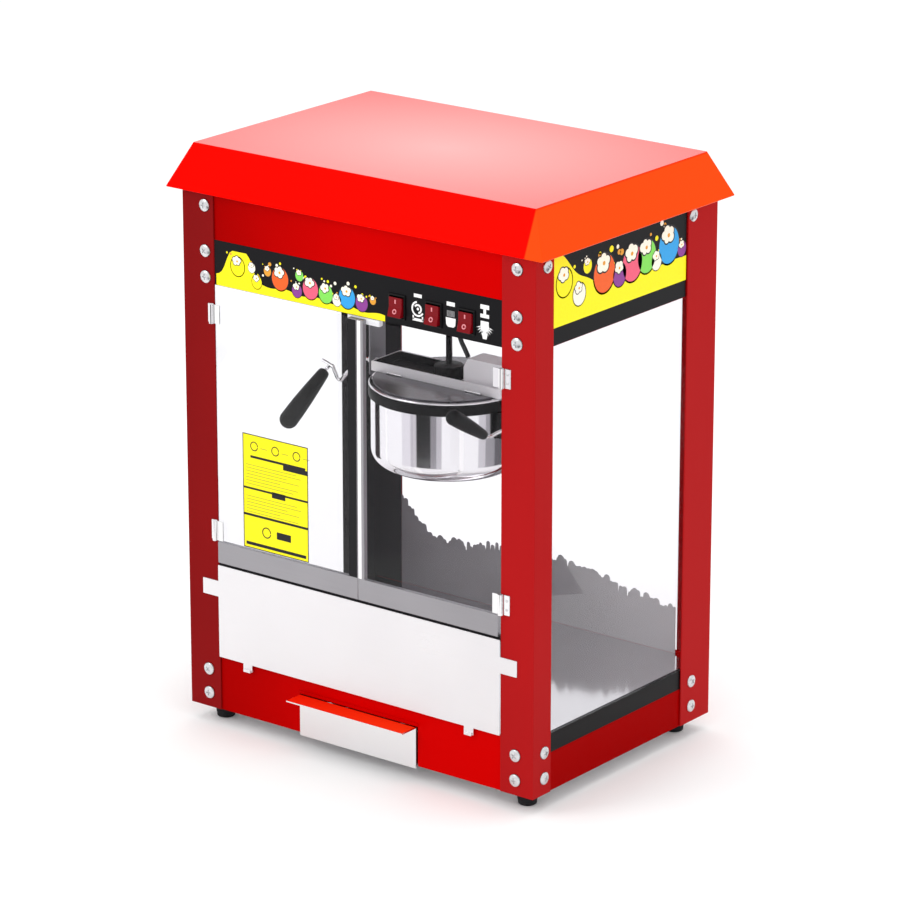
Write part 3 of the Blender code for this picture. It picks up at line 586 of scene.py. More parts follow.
def build_feet():
    """Rubber feet with a moulded collar and ribs."""
    for side in ("left", "right"):
        for end in ("front", "rear"):
            node = f"foot_{end}_{side}"
            low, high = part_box(node)
            x, y = (low[0] + high[0]) / 2, (low[1] + high[1]) / 2
            radius = (high[0] - low[0]) / 2
            profile = [(0.0, 0.0), (radius * 0.78, 0.0), (radius * 0.86, 0.001), (radius * 0.90, 0.006),
                       (radius * 0.93, 0.0065), (radius * 0.93, 0.0095), (radius * 0.91, 0.010),
                       (radius, 0.014), (radius, high[2] - 0.0006), (radius - 0.0006, high[2]),
                       (0.0, high[2])]
            foot = turned(f"rubber_{node}", profile, (x, y, 0.0), (0, 0, 1), [Palette.rubber], 40)
            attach(foot, "cabinet")
            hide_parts(node)


# ---------------------------------------------------------------- printed strips and symbols


def puff(shape, u, v, size, ink, place, draw):
    """One popped kernel on a coloured ball: black outlines, five cream lobes and an amber hull spot."""
    plate(shape, circle(u, v, size * 1.10, 28, 1.12), place, 0.00010, 0)
    plate(shape, circle(u, v, size, 28, 1.12), place, 0.00016, ink)
    turn = draw.uniform(0.0, 1.2)
    lobes = [(0.0, 0.0, 0.34)]
    for k in range(5):
        t = turn + 2 * math.pi * k / 5
        lobes.append((0.36 * math.cos(t), 0.30 * math.sin(t), draw.uniform(0.22, 0.32)))
    for layer, (rim, shade) in enumerate(((0.09, 0), (0.0, 1))):
        for k, (across, up, radius) in enumerate(lobes):
            spot = (u + (across - 0.12) * size, v + (up + 0.66) * size)
            rise = 0.00020 + 0.00006 * layer + 0.000004 * k
            plate(shape, circle(*spot, (radius + rim) * size, 20), place, rise, shade)
    plate(shape, circle(u - 0.05 * size, v + 0.60 * size, 0.13 * size, 12), place, 0.00034, 7)


def picture_strip(name, place, span, floor, rise, puffs, seed):
    """A yellow printed band with a wavy top and a row of popped kernels above it."""
    draw = random.Random(seed)
    shape = bmesh.new()
    start, end = span
    steps = 60
    top = []
    for k in range(steps + 1):
        u = start + (end - start) * k / steps
        top.append((u, floor + rise(k / steps)))
    plate(shape, [(start, floor)] + top + [(end, floor)], place, 0.00010, 8)
    for share, height, size, ink in puffs:
        u = start + (end - start) * share
        puff(shape, u, floor + height, size, ink, place, draw)
        for _ in range(3):
            crumb_u = u + draw.uniform(-1.6, 1.6) * size
            crumb_v = floor + height + draw.uniform(0.9, 1.5) * size
            plate(shape, circle(crumb_u, crumb_v, size * draw.uniform(0.10, 0.2), 12), place, 0.00014,
                  draw.choice((8, 8, 1, 7)))
    made = mesh_object(name, shape, Palette.inks + [Palette.yellow])
    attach(made, "cabinet")


def build_strips():
    """The picture strips on the switch panel and on both side headers."""
    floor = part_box("control_panel")[0][2] + 0.0004

    def front(u, v, depth):
        return (u, SHEET_FRONT - 0.00003 - depth, v)

    def low_rise(share):
        bump = 0.036 * math.exp(-((share - 0.14) / 0.085) ** 4)
        slope = 0.014 * (1 - 0.55 * share) + 0.0016 * math.sin(34 * share)
        return min(0.046, bump + slope)

    puffs = [(0.13, 0.028, 0.0105, 8), (0.215, 0.030, 0.0055, 1), (0.245, 0.014, 0.0075, 8),
             (0.31, 0.030, 0.0055, 7), (0.385, 0.024, 0.0125, 2), (0.485, 0.014, 0.0075, 6),
             (0.50, 0.033, 0.0060, 4), (0.565, 0.020, 0.0115, 3), (0.655, 0.018, 0.0105, 4),
             (0.72, 0.013, 0.0065, 1), (0.78, 0.019, 0.0120, 5), (0.865, 0.016, 0.0090, 6),
             (0.93, 0.022, 0.0045, 7)]
    picture_strip("front_picture_strip", front, (-0.2135, 0.044), floor, low_rise, puffs,
                  FRONT_STRIP_SEED)
    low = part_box("side_header_right")[0]
    base = low[2] + 0.021
    start, end = MIDDLE_Y - 0.1443, MIDDLE_Y + 0.1193

    def tall_rise(share):
        hump = 0.052 * math.exp(-((share - 0.02) / 0.20) ** 2)
        return 0.030 + hump + 0.004 * math.sin(29 * share) * (1 - share)

    big = [(0.08, 0.050, 0.0150, 8), (0.19, 0.030, 0.0120, 1), (0.25, 0.060, 0.0080, 8),
           (0.375, 0.044, 0.0205, 2), (0.49, 0.036, 0.0130, 6), (0.585, 0.044, 0.0195, 3),
           (0.695, 0.046, 0.0180, 4), (0.77, 0.036, 0.0100, 1), (0.865, 0.050, 0.0200, 5),
           (0.965, 0.040, 0.0085, 6)]
    for side, sx in SIDES:
        def flank(u, v, depth, sx=sx):
            return (sx * (SHEET_SIDE + 0.00006 + depth), u, v)

        shape = bmesh.new()
        plate(shape, oblong(start, end, low[2] + 0.0003, SIDE_STRIP_TOP),
              lambda u, v, d, sx=sx: (sx * (SHEET_SIDE + 0.00001 + d), u, v), 0.00005, 0)
        back = mesh_object(f"side_strip_backing_{side}", shape, [Palette.black])
        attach(back, "cabinet")
        span = (start + 0.0006, end - 0.0006)
        picture_strip(f"side_picture_strip_{side}", flank, span, base, tall_rise, big, SIDE_STRIP_SEED)


def ring_outline(u, v, outer, inner, start, end, steps=20):
    """A ring sector as one outline."""
    there = arc((u, v), outer, start, end, steps)
    back = arc((u, v), inner, end, start, steps)
    return there + back


def build_symbols():
    """White symbols beside the switches: stirring, kettle heat and lamp."""
    def front(u, v, depth):
        return (u, SHEET_FRONT - 0.00005 - depth, v)

    def bar(shape, u, v, width, height, index=0):
        outline = oblong(u - width / 2, u + width / 2, v - height / 2, v + height / 2)
        plate(shape, outline, front, INK, index)

    rockers = {n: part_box("rocker_" + n) for n in ("heat", "stirrer", "lamp")}
    middle = (rockers["heat"][0][2] + rockers["heat"][1][2]) / 2
    shape = bmesh.new()
    u = rockers["heat"][1][0] + 0.0205
    bar(shape, u, middle + 0.018, 0.0115, 0.0042)
    for outer, start, end in ((0.0094, 100, 330), (0.0058, -80, 150)):
        plate(shape, ring_outline(u, middle + 0.0022, outer, outer - 0.0022, start, end), front, INK, 0)
    plate(shape, circle(u, middle + 0.0022, 0.0017, 14), front, INK, 0)
    bar(shape, u, middle - 0.0108, 0.0155, 0.0032)
    bar(shape, u - 0.0068, middle - 0.0086, 0.0020, 0.0050)
    bar(shape, u + 0.0068, middle - 0.0086, 0.0020, 0.0050)
    u = rockers["stirrer"][1][0] + 0.0150
    bar(shape, u, middle + 0.0165, 0.0118, 0.0048)
    bar(shape, u, middle + 0.0050, 0.0110, 0.0070, 1)
    for k in range(3):
        bar(shape, u - 0.0034 + 0.0034 * k, middle + 0.0050, 0.0010, 0.0062)
    bowl = [(u - 0.0072, middle), (u + 0.0072, middle), (u + 0.0066, middle - 0.0085),
            (u + 0.0040, middle - 0.011), (u - 0.0040, middle - 0.011), (u - 0.0066, middle - 0.0085)]
    plate(shape, bowl, front, INK, 0)
    u = rockers["lamp"][1][0] + 0.0160
    bar(shape, u, middle + 0.0215, 0.0125, 0.0052)
    bar(shape, u, middle + 0.0160, 0.0038, 0.0060)
    bar(shape, u, middle + 0.0108, 0.0125, 0.0045)
    bulb = [(u - 0.0058, middle + 0.0046), (u + 0.0058, middle + 0.0046)]
    bulb += arc((u, middle - 0.002), 0.0062, 20, -30, 5)
    bulb += [(u + 0.0026, middle - 0.0165), (u - 0.0026, middle - 0.0165)]
    bulb += arc((u, middle - 0.002), 0.0062, 210, 160, 5)
    plate(shape, bulb, front, INK, 0)
    for k in range(8):
        t = math.radians(-65 + k * 17) if k < 4 else math.radians(180 + 65 - (k - 4) * 17)
        inner, outer, half = 0.0070, 0.0125, 0.0009
        c, s = math.cos(t), math.sin(t)
        plate(shape, [(u + inner * c - half * s, middle - 0.001 + inner * s + half * c),
                      (u + outer * c, middle - 0.001 + outer * s),
                      (u + inner * c + half * s, middle - 0.001 + inner * s - half * c)], front, INK, 0)
    symbols = mesh_object("switch_symbols", shape, [Palette.white, Palette.grey])
    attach(symbols, "cabinet")


def build_switches():
    """A raised bezel round each rocker, a hollow switch body behind it, and the pale marks on its face."""
    for name in ("heat", "stirrer", "lamp"):
        low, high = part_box("rocker_" + name)
        u, v = (low[0] + high[0]) / 2, (low[2] + high[2]) / 2
        repaint(["rocker_" + name], Palette.rocker, 0.0004)
        shape = bmesh.new()
        half_in = ((high[0] - low[0]) / 2 + 0.0007, (high[2] - low[2]) / 2 + 0.0012)
        half_out = (half_in[0] + 0.0019, half_in[1] + 0.0021)
        loops = []
        for (w, h), depth in ((half_out, 0.0), (half_out, 0.0012), (half_in, 0.0022), (half_in, 0.0)):
            loops.append([shape.verts.new((u + a * w, SHEET_FRONT - 0.0001 - depth, v + b * h))
                          for a, b in CORNERS])
        for lower, upper in zip(loops, loops[1:] + loops[:1]):
            for k in range(4):
                shape.faces.new((lower[k], lower[(k + 1) % 4], upper[(k + 1) % 4], upper[k]))
        bezel = mesh_object(f"rocker_bezel_{name}", shape, [Palette.phenolic])
        soften(bezel, 0.0003)
        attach(bezel, "cabinet")
        back, near = high[1] + 0.0012, SHEET_FRONT + 0.0020
        wide, tall = 0.0118, 0.0145
        walls = ((-wide, 0.001 - wide, -tall, tall), (wide - 0.001, wide, -tall, tall),
                 (0.001 - wide, wide - 0.001, -tall, 0.001 - tall),
                 (0.001 - wide, wide - 0.001, tall - 0.001, tall))
        corners = [((u - wide, back, v - tall), (u + wide, back + 0.0010, v + tall))]
        corners += [((u + x0, near, v + z0), (u + x1, back, v + z1)) for x0, x1, z0, z1 in walls]
        housing = blocks(f"switch_body_{name}", Palette.phenolic, corners)
        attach(housing, "cabinet")
        build_rocker_marks(name, u, v)


def build_rocker_marks(name, u, v):
    """A short bar on the pressed half and a ring on the other, following the tilted faces."""
    shape = bmesh.new()
    pivot = Vector((u, SHEET_FRONT, v))
    turn = Matrix.Rotation(-ROCKER_TILT, 3, "X")

    def on_face(a, b, depth):
        out = -0.0045 - abs(b) * math.tan(ROCKER_TILT) - 0.00005 - depth
        return tuple(pivot + turn @ Vector((a, out, b)))

    plate(shape, oblong(-0.0009, 0.0009, 0.0035, 0.0082), on_face, INK, 0)
    plate(shape, ring_outline(0.0, -0.0058, 0.0030, 0.0016, 0, 350, 24), on_face, INK, 0)
    marks = mesh_object(f"rocker_marks_{name}", shape, [Palette.mark])
    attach(marks, "switch_" + name)


# ---------------------------------------------------------------- doors, flap and drawer


def build_doors():
    """Finishes the door frames and hinges; adds the post-side leaves, rivets, strips and catch."""
    for side, sx in SIDES:
        repaint([f"door_{side}_frame"], Palette.rail, 0.0005)
        for level in ("upper", "lower"):
            node = f"door_{side}_hinge_{level}"
            repaint([node], Palette.mirror, 0.0003)
            low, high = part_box(node)
            inner = sx * (0.2175 + 0.0034)
            outer = sx * (0.2290 if side == "right" else 0.2245)
            leaf = blocks(f"post_leaf_{side}_{level}", Palette.mirror,
                          [((min(inner, outer), FRONT - 0.0015, low[2] + 0.0005),
                            (max(inner, outer), FRONT - 0.0002, high[2] - 0.0005))], 0.0003)
            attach(leaf, "cabinet")
            for share in (0.28, 0.72) if side == "right" else ():
                z = low[2] + (high[2] - low[2]) * share
                dome = [(0.0018, 0.0), (0.0016, 0.0005), (0.0009, 0.0009), (0.0, 0.0010)]
                rivet = turned(f"leaf_rivet_{side}_{level}_{int(share * 100)}", [(0.0, 0.0)] + dome,
                               (sx * 0.2255, FRONT - 0.0015, z), (0, -1, 0), [Palette.zinc], 20)
                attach(rivet, "cabinet")
    build_stile_strips()
    build_catch()


def build_stile_strips():
    """A black strip on the left stile as painted shade, a pale strip on the right one as painted highlight,
    and a dark sill behind the gap.
    """
    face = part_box("door_left_frame")[0][1]
    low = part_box("door_left_frame")
    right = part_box("door_right_frame")
    # Painted shade on the left stile, painted highlight on the right one.
    for name, x0, x1, material, body in (
            ("left_stile_painted_shade_strip", low[1][0] - 0.0124, low[1][0] - 0.0004, Palette.rubber, "door_left"),
            ("right_stile_painted_highlight_strip", right[0][0] + 0.0012, right[0][0] + 0.0060, Palette.cover,
             "door_right")):
        strip = blocks(name, material, [((x0, face - 0.0008, 0.2405), (x1, face - 0.0001, 0.5590))], 0.0002)
        strip.visible_glossy = False
        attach(strip, body)
    sill = blocks("sill_seal", Palette.rubber,
                  [((-0.2560, FRONT + 0.0025, 0.2060), (0.2560, FRONT + 0.0036, 0.2150))])
    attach(sill, "cabinet")


def build_catch():
    """The catch over the meeting stiles: one pale housing under the panel."""
    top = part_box("control_panel")[0][2]
    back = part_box("door_left_frame")[1][1]
    catch = blocks("door_catch", Palette.white,
                   [((-0.014, back + 0.0008, top - 0.009), (0.034, back + 0.0080, top - 0.0006))], 0.0012, 3)
    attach(catch, "cabinet")


def build_label():
    """A plain yellow sticker on the left pane with bars, rings and fine rules in place of text."""
    low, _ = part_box("door_left_glass")
    face = low[1] - 0.00005
    left, right, bottom, top = -0.173, -0.0715, 0.2425, 0.387
    shape = bmesh.new()

    def on_pane(u, v, depth):
        return (u, face - depth, v)

    def bar(x0, x1, z0, z1, index, depth=0.00022):
        plate(shape, oblong(x0, x1, z0, z1), on_pane, depth, index)

    bar(left, right, bottom, top, 0, INK)
    rule = 0.0011
    for z0, z1 in ((bottom, bottom + rule), (top - rule, top)):
        bar(left, right, z0, z1, 1)
    bar(left, left + rule, bottom, top, 1)
    bar(right - rule, right, bottom, top, 1)
    bar(left + 0.012, right - 0.004, 0.3575, 0.3605, 1)
    bar(left + 0.063, right - 0.001, 0.3515, 0.3575, 1)
    bar(left, right, 0.3175, 0.3200, 1)
    bar(left + 0.045, left + 0.066, 0.3130, 0.3205, 1)
    bar(left, right, 0.2835, 0.2865, 1)
    bar(left + 0.004, right - 0.004, 0.2465, 0.2505, 1)
    for k in range(3):
        centre = left + 0.018 + 0.033 * k
        plate(shape, ring_outline(centre, 0.3725, 0.0060, 0.0048, 0, 350, 24), on_pane, 0.00022, 1)
        bar(centre + 0.010, centre + 0.020, 0.3712, 0.3720, 2)
    plate(shape, ring_outline(left + 0.036, 0.2665, 0.0070, 0.0056, 0, 350, 24), on_pane, 0.00022, 1)
    bar(left + 0.052, left + 0.074, 0.2620, 0.2710, 1)
    for first, count, pitch in ((0.3480, 7, 0.0040), (0.3085, 6, 0.0040)):
        for k in range(count):
            z = first - pitch * k
            length = (0.86, 0.93, 0.70, 0.90, 0.58, 0.88, 0.80)[k]
            bar(left + 0.005, left + 0.005 + (right - left - 0.01) * length, z, z + 0.0007, 2)
    inks = [Palette.yellow, Palette.inks[0], printed("olive_ink", "A9A92A")]
    label = mesh_object("left_door_sticker", shape, inks)
    label.visible_glossy = False
    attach(label, "door_left")


def build_flap_and_drawer():
    """Finishes the flap and drawer; adds the opening's trim, a painted reflection of the red front on the
    lip, and the flap's hooks.
    """
    repaint(["serving_flap"], Palette.satin, 0.0005)
    repaint(["drawer_tray"], Palette.satin)
    repaint(["drawer_front"], Palette.mirror, 0.0004)
    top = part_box("drawer_front")[1][2]
    trim = blocks("drawer_opening_trim", Palette.bright,
                  [((-0.0915, SHEET_FRONT - 0.0009, top + 0.0007),
                    (0.0915, SHEET_FRONT - 0.0002, top + 0.0050))], 0.0002)
    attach(trim, "cabinet")
    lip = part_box("drawer_front")[0][1]
    # A thin layer on the polished lip that carries the painted reflection of the red front.
    lip_reflection_layer = blocks("drawer_lip_painted_reflection", Palette.lip,
                    [((-0.0885, lip + 0.0008, top + 0.00003), (0.0885, FRONT - 0.0006, top + 0.0003))])
    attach(lip_reflection_layer, "drawer")
    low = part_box("serving_flap")[0]
    for side, sx in SIDES:
        hook = blocks(f"flap_hook_{side}", Palette.satin,
                      [((sx * 0.170 - 0.0055, low[1] - 0.0022, low[2] - 0.0008),
                        (sx * 0.170 + 0.0055, low[1] - 0.0001, low[2] + 0.0030))], 0.0005)
        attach(hook, "flap")


# ---------------------------------------------------------------- kettle


def kettle_centre():
    """Where the kettle's vertical axis stands."""
    low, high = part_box("kettle_pot")
    return ((low[0] + high[0]) / 2, (low[1] + high[1]) / 2)


def build_pot():
    """The spun bowl with a rolled rim, and the black band clamped under it."""
    x, y = kettle_centre()
    low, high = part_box("kettle_pot")
    rim_radius = (high[0] - low[0]) / 2
    radius = rim_radius - 0.0025
    bottom, rim = low[2], high[2]
    corner, wall = 0.022, 0.002
    profile = [(0.0, bottom + 0.012), (0.070, bottom + 0.012), (0.0715, bottom + 0.0005)]
    profile += arc((radius - corner, bottom + corner), corner, -90, 0, 14)
    profile += [(radius, rim - 0.004), (rim_radius - 0.0012, rim - 0.0036)]
    profile += arc((rim_radius - 0.0016, rim - 0.0018), 0.0016, -60, 100, 6)
    profile += [(radius - wall + 0.0006, rim), (radius - wall, rim - 0.0008)]
    profile += arc((radius - wall - 0.012, bottom + 0.026), 0.012, 0, -90, 8) + [(0.0, bottom + 0.014)]
    pot = turned("spun_kettle_bowl", profile, (x, y, 0), (0, 0, 1), [Palette.spun], 160, 30)
    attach(pot, "kettle")
    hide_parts("kettle_pot")
    low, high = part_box("kettle_ring")
    outer = (high[0] - low[0]) / 2
    band = [(radius + 0.0003, low[2]), (outer - 0.0005, low[2])]
    band += arc((outer - 0.0007, low[2] + 0.0007), 0.0007, -90, 0, 3)
    band += arc((outer - 0.0007, high[2] - 0.0007), 0.0007, 0, 90, 3) + [(radius + 0.0003, high[2])]
    ring = turned("kettle_heat_band", band, (x, y, 0), (0, 0, 1), [Palette.ring], 160, 35)
    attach(ring, "kettle")
    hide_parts("kettle_ring")


def build_kettle_top():
    """Finishes the trough, lids and cover; adds the trough's liner, a fluted drive knob and lid knuckles."""
    repaint(["agitator", "motor_shaft"], Palette.mirror)
    # The lids' dark grey is a painted reflection.
    repaint(["lid_front", "lid_rear"], Palette.tempered)
    repaint(["terminal_cover", "kettle_crossbar"], Palette.cover, 0.0006)
    for name in ("lid_front", "lid_rear"):
        soften(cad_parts[name], 0.0004)
    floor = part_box("terminal_cover")[0][2] - 0.00055
    liner = blocks("crossbar_liner", Palette.ring, [
        ((-0.0960, MIDDLE_Y - 0.0262, floor), (-0.0195, MIDDLE_Y + 0.0262, floor + 0.0002)),
        ((0.0195, MIDDLE_Y - 0.0262, floor), (0.0325, MIDDLE_Y + 0.0262, floor + 0.0002)),
        ((-0.0964, MIDDLE_Y + 0.0257, floor + 0.0003), (0.0964, MIDDLE_Y + 0.0263, floor + 0.0100)),
        ((-0.0964, MIDDLE_Y - 0.0262, floor + 0.0003), (-0.0960, MIDDLE_Y + 0.0255, floor + 0.0104))])
    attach(liner, "kettle")
    low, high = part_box("drive_knob")
    x, y = (low[0] + high[0]) / 2, (low[1] + high[1]) / 2
    radius, top, foot = (high[0] - low[0]) / 2, high[2], low[2]
    profile = [(0.0043, foot), (radius - 0.0015, foot), (radius - 0.0006, foot + 0.001),
               (radius - 0.0006, top - 0.0035)]
    profile += arc((radius - 0.0031, top - 0.0030), 0.0025, 0, 90, 5)
    profile += [(0.0075, top - 0.0006), (0.0065, top), (0.0043, top)]
    knob = turned("fluted_drive_knob", profile, (x, y, 0), (0, 0, 1), [Palette.phenolic], 120, 45)
    for vertex in knob.data.vertices:
        away = Vector((vertex.co.x - x, vertex.co.y - y, 0))
        if away.length > radius - 0.0012 and vertex.co.z < top - 0.002:
            flute = 0.0005 * max(0.0, math.cos(24 * math.atan2(away.y, away.x)))
            vertex.co += away.normalized() * flute
    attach(knob, "stirrer")
    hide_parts("drive_knob")
    lid_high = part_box("lid_front")[1]
    for sx in (-1, 1):
        centre = (sx * 0.060 - 0.012, lid_high[1] - 0.0012, lid_high[2] + 0.0012)
        knuckle = turned(f"lid_knuckle_{'left' if sx < 0 else 'right'}",
                         [(0.0, 0.0), (0.0011, 0.0), (0.0011, 0.024), (0.0, 0.024)], centre, (1, 0, 0),
                         [Palette.mirror], 20)
        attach(knuckle, "kettle_lid")


def grip_profile(length, start, girth=1.0):
    """A tapered handle: a ferrule end at the rod, swelling to a full rounded butt."""
    points = [(0.0, start), (0.0055, start), (0.0068, start + 0.0008), (0.0076, start + 0.004)]
    points += [(0.0076 + 0.0042 * math.sin(math.pi / 2 * k / 6), start + 0.004 + (length * 0.83) * k / 6)
               for k in range(1, 7)]
    butt = points[-1]
    rest = length - butt[1]
    points += [(butt[0] * math.cos(t), butt[1] + rest * math.sin(t)) for t in
               [math.pi / 2 * k / 7 for k in range(1, 8)]]
    points[-1] = (0.0, length)
    return [(radius * girth, height) for radius, height in points]


def build_levers():
    """Each lever: a bent steel rod from the trunnion and a black grip on its end. The left one has a hook
    beside it, and the terminal block sits by the right one."""
    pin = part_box("kettle_crossbar")
    y = (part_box("kettle_hanger")[0][1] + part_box("kettle_hanger")[1][1]) / 2 - 0.003
    z = PIVOT_HEIGHT
    left = [(pin[0][0] - 0.0006, y, z), (-0.127, y, 0.4455)] + from_middle([
        (-0.134, -0.008, 0.432), (-0.146, -0.010, 0.4285), (-0.154, -0.011, 0.4205), (-0.161, -0.012, 0.4140),
        (-0.167, -0.013, 0.4230), (-0.174, -0.0115, 0.4300), (-0.180, -0.0136, 0.4252),
        (-0.180, -0.017, 0.4230)])
    stub = from_middle([(-0.172, -0.0120, 0.4290), (-0.179, -0.0118, 0.4318), (-0.188, -0.0120, 0.4345)])
    right = [(pin[1][0] + 0.0006, y, z), (0.127, y, 0.4455)] + from_middle([
        (0.130, -0.014, 0.430), (0.128, -0.040, 0.420), (0.125, -0.067, 0.4160), (0.125, -0.0888, 0.4159),
        (0.125, -0.093, 0.4185)])
    left_butt, right_butt = from_middle([(-0.180, -0.096, 0.372), (0.125, -0.160, 0.4600)])
    for side, route, butt, girth in (("left", left, left_butt, 0.98), ("right", right, right_butt, 0.80)):
        rod = bent_rod(f"lever_rod_{side}", route, 0.0023, [Palette.mirror])
        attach(rod, "kettle")
        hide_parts(f"lever_{side}_rod")
        end = Vector(route[-1])
        reach = Vector(butt) - end
        grip = turned(f"lever_handle_{side}", grip_profile(reach.length, 0.0006, girth), end, reach,
                      [Palette.phenolic], 64, 50)
        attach(grip, "kettle")
        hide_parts(f"lever_{side}_grip")
    terminal = blocks("heater_terminal_block", Palette.phenolic, [
        ((0.0954, MIDDLE_Y - 0.032, 0.3940), (0.1060, MIDDLE_Y + 0.018, 0.4240)),
        ((0.1000, MIDDLE_Y - 0.026, 0.3880), (0.1045, MIDDLE_Y - 0.018, 0.3938))], 0.0015, 3)
    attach(terminal, "kettle")
    hook = bent_rod("lever_hook_left", stub, 0.0021, [Palette.mirror])
    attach(hook, "kettle")


def build_lead():
    """The heater's lead, bending between the ceiling and the kettle, with its gland."""
    y = MIDDLE_Y
    route = from_middle([
        (0.0370, -0.010, 0.4785), (0.0315, -0.010, 0.488), (0.0262, -0.010, 0.4966), (0.0225, -0.010, 0.507),
        (0.0215, -0.010, 0.520), (0.0245, -0.008, 0.533), (0.0320, -0.003, 0.545), (0.0430, 0.006, 0.556),
        (0.0530, 0.015, 0.569), (0.0600, 0.022, 0.583), (0.0620, 0.024, 0.5992)])
    lead = bent_rod("heater_lead", route[::-1], 0.003, [Palette.sheath], 12)
    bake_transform(lead)
    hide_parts("kettle_lead")
    profile = [(0.0032, 0.0), (0.0050, 0.0), (0.0056, 0.006), (0.0075, 0.0065), (0.0075, 0.0090),
               (0.0032, 0.0090)]
    gland = turned("lead_gland", profile, (0.062, y + 0.024, 0.5905), (0, 0, 1), [Palette.phenolic], 32)
    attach(gland, "cabinet")


def build_fittings():
    """The lamp, its holder and the inlet gland at the rear."""
    repaint(["lamp_holder", "mains_inlet"], Palette.phenolic)
    repaint(["lamp_bulb"], moulded("frosted_lamp_glass", "F6F1E4", 0.25, 1.0, 0.02))
    for name in ("lamp_holder", "lamp_bulb", "mains_inlet", "gear_motor", "agitator", "motor_shaft"):
        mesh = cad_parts[name].data
        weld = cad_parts[name].modifiers.new("weld", "WELD")
        weld.merge_threshold = MERGE
        mesh.shade_smooth()


# ---------------------------------------------------------------- stage


def build_card(name, start, end, code):
    """A card on the floor that shows only in reflections. Angles are degrees to the right of dead ahead."""
    shape = bmesh.new()
    outline = ring_outline(*CARD_CENTRE, CARD_FAR, CARD_NEAR, start - 90, end - 90, 16)
    plate(shape, outline, lambda u, v, d: (u, v, 0.001 + d), 0.001, 0)
    card = mesh_object(name, shape, [moulded("matt_" + name, code, 0.95, 40.0, 0.0, 0.0)])
    card.visible_camera = False
    card.visible_diffuse = False
    card.visible_shadow = False


def build_stage():
    """A pale floor, the cards that give the kettle its bands, a white world, soft lights, and the camera."""
    look = bpy.context.scene.popcorn_stage
    shape = bmesh.new()
    bmesh.ops.create_grid(shape, x_segments=2, y_segments=2, size=14.0)
    floor = mesh_object("studio_floor", shape, [moulded("pale_studio_floor", "FEFEFE", 0.9, 40.0, 0.0, 0.0)])
    floor.location.z = -0.0005
    for name, start, end, code in (("left_card", -102, -86, "2A2224"), ("pale_card", -37, -22, "E6E4E8"),
                                   ("mid_card", -21.9, -12, "C4C1C6"), ("black_card", -11.9, 11, "000000"),
                                   ("grey_card", 11.1, 20, "8C8A8E"), ("soft_card", 20.1, 28, "C4C2C6"),
                                   ("side_card", 84, 95, "D0CED2"), ("dim_card", 95.1, 110, "9C9A9E"),
                                   ("dark_card", 110.1, 132, "605E62")):
        build_card(name, start, end, code)
    world = bpy.data.worlds.new("studio_white")
    bpy.context.scene.world = world
    world.use_nodes = True
    backdrop = world.node_tree.nodes["Background"]
    backdrop.inputs["Color"].default_value = (1.0, 1.0, 1.0, 1.0)
    backdrop.inputs["Strength"].default_value = look.world_strength
    for name, spot, size, power in (("key", (-1.6, -2.6, 2.6), 1.6, look.key_power),
                                    ("top", (0.2, 0.4, 3.2), 2.2, look.top_power),
                                    ("right", (3.0, -0.6, 1.9), 1.6, look.right_power)):
        lamp = bpy.data.lights.new(name, "AREA")
        lamp.shape = "SQUARE"
        lamp.size = size
        lamp.energy = power
        light = scene_object(name, lamp)
        light.location = spot
        light.rotation_euler = (Vector(LIGHT_TARGET) - Vector(spot)).to_track_quat("-Z", "Y").to_euler()
    lens = bpy.data.cameras.new("camera")
    lens.lens = look.lens
    lens.sensor_width = 36.0
    camera = scene_object("camera", lens)
    azimuth, elevation = look.azimuth, look.elevation
    target = Vector(CAMERA_TARGET)
    level = math.cos(elevation)
    back = Vector((math.sin(azimuth) * level, -math.cos(azimuth) * level, math.sin(elevation)))
    camera.location = target + back * look.distance
    camera.rotation_euler = (-back).to_track_quat("-Z", "Y").to_euler()
    bpy.context.scene.camera = camera
    bpy.context.scene.view_settings.view_transform = "Standard"


# ---------------------------------------------------------------- add-on


class PopcornFinish(bpy.types.PropertyGroup):
    """Colours of the finishes, as sRGB hex."""

    post_red: StringProperty(name="Post red", description="Powder coat of the posts", default="AE1618")
    # The posts' darker left side is painted shade.
    post_painted_shade: StringProperty(name="Post shade", description="Its darker left side", default="800E10")
    sheet_red: StringProperty(name="Sheet red", description="Powder coat of the sheets", default="CC0000")
    # The sheets' darker left side is painted shade; the side sheets darken towards it too.
    sheet_painted_shade: StringProperty(name="Sheet shade", description="Its darker left side", default="9A0000")
    # The side sheets' darker red is painted shade.
    side_painted_shade_red: StringProperty(name="Side red", description="Powder coat of the side sheets",
                             default="A80002")
    roof_red: StringProperty(name="Roof red", description="Gloss enamel of the canopy", default="F80500")
    # The orange of the roof's right-hand skirt is painted light.
    roof_flank_painted_light: StringProperty(name="Roof flank", description="Its right-hand skirt", default="F84A12")
    black: StringProperty(name="Black", description="Switch panel and rails", default="0F0E12")
    yellow: StringProperty(name="Yellow", description="Printed film", default="FFF200")
    deck: StringProperty(name="Deck", description="Polished floor of the cabinet", default="E6E4E6")
    film: StringProperty(name="Film", description="Film on the rear pane", default="C8C6C9")
    # The film's darker left end is painted shade.
    film_left_painted_shade: StringProperty(name="Film left", description="Its left end", default="747175")


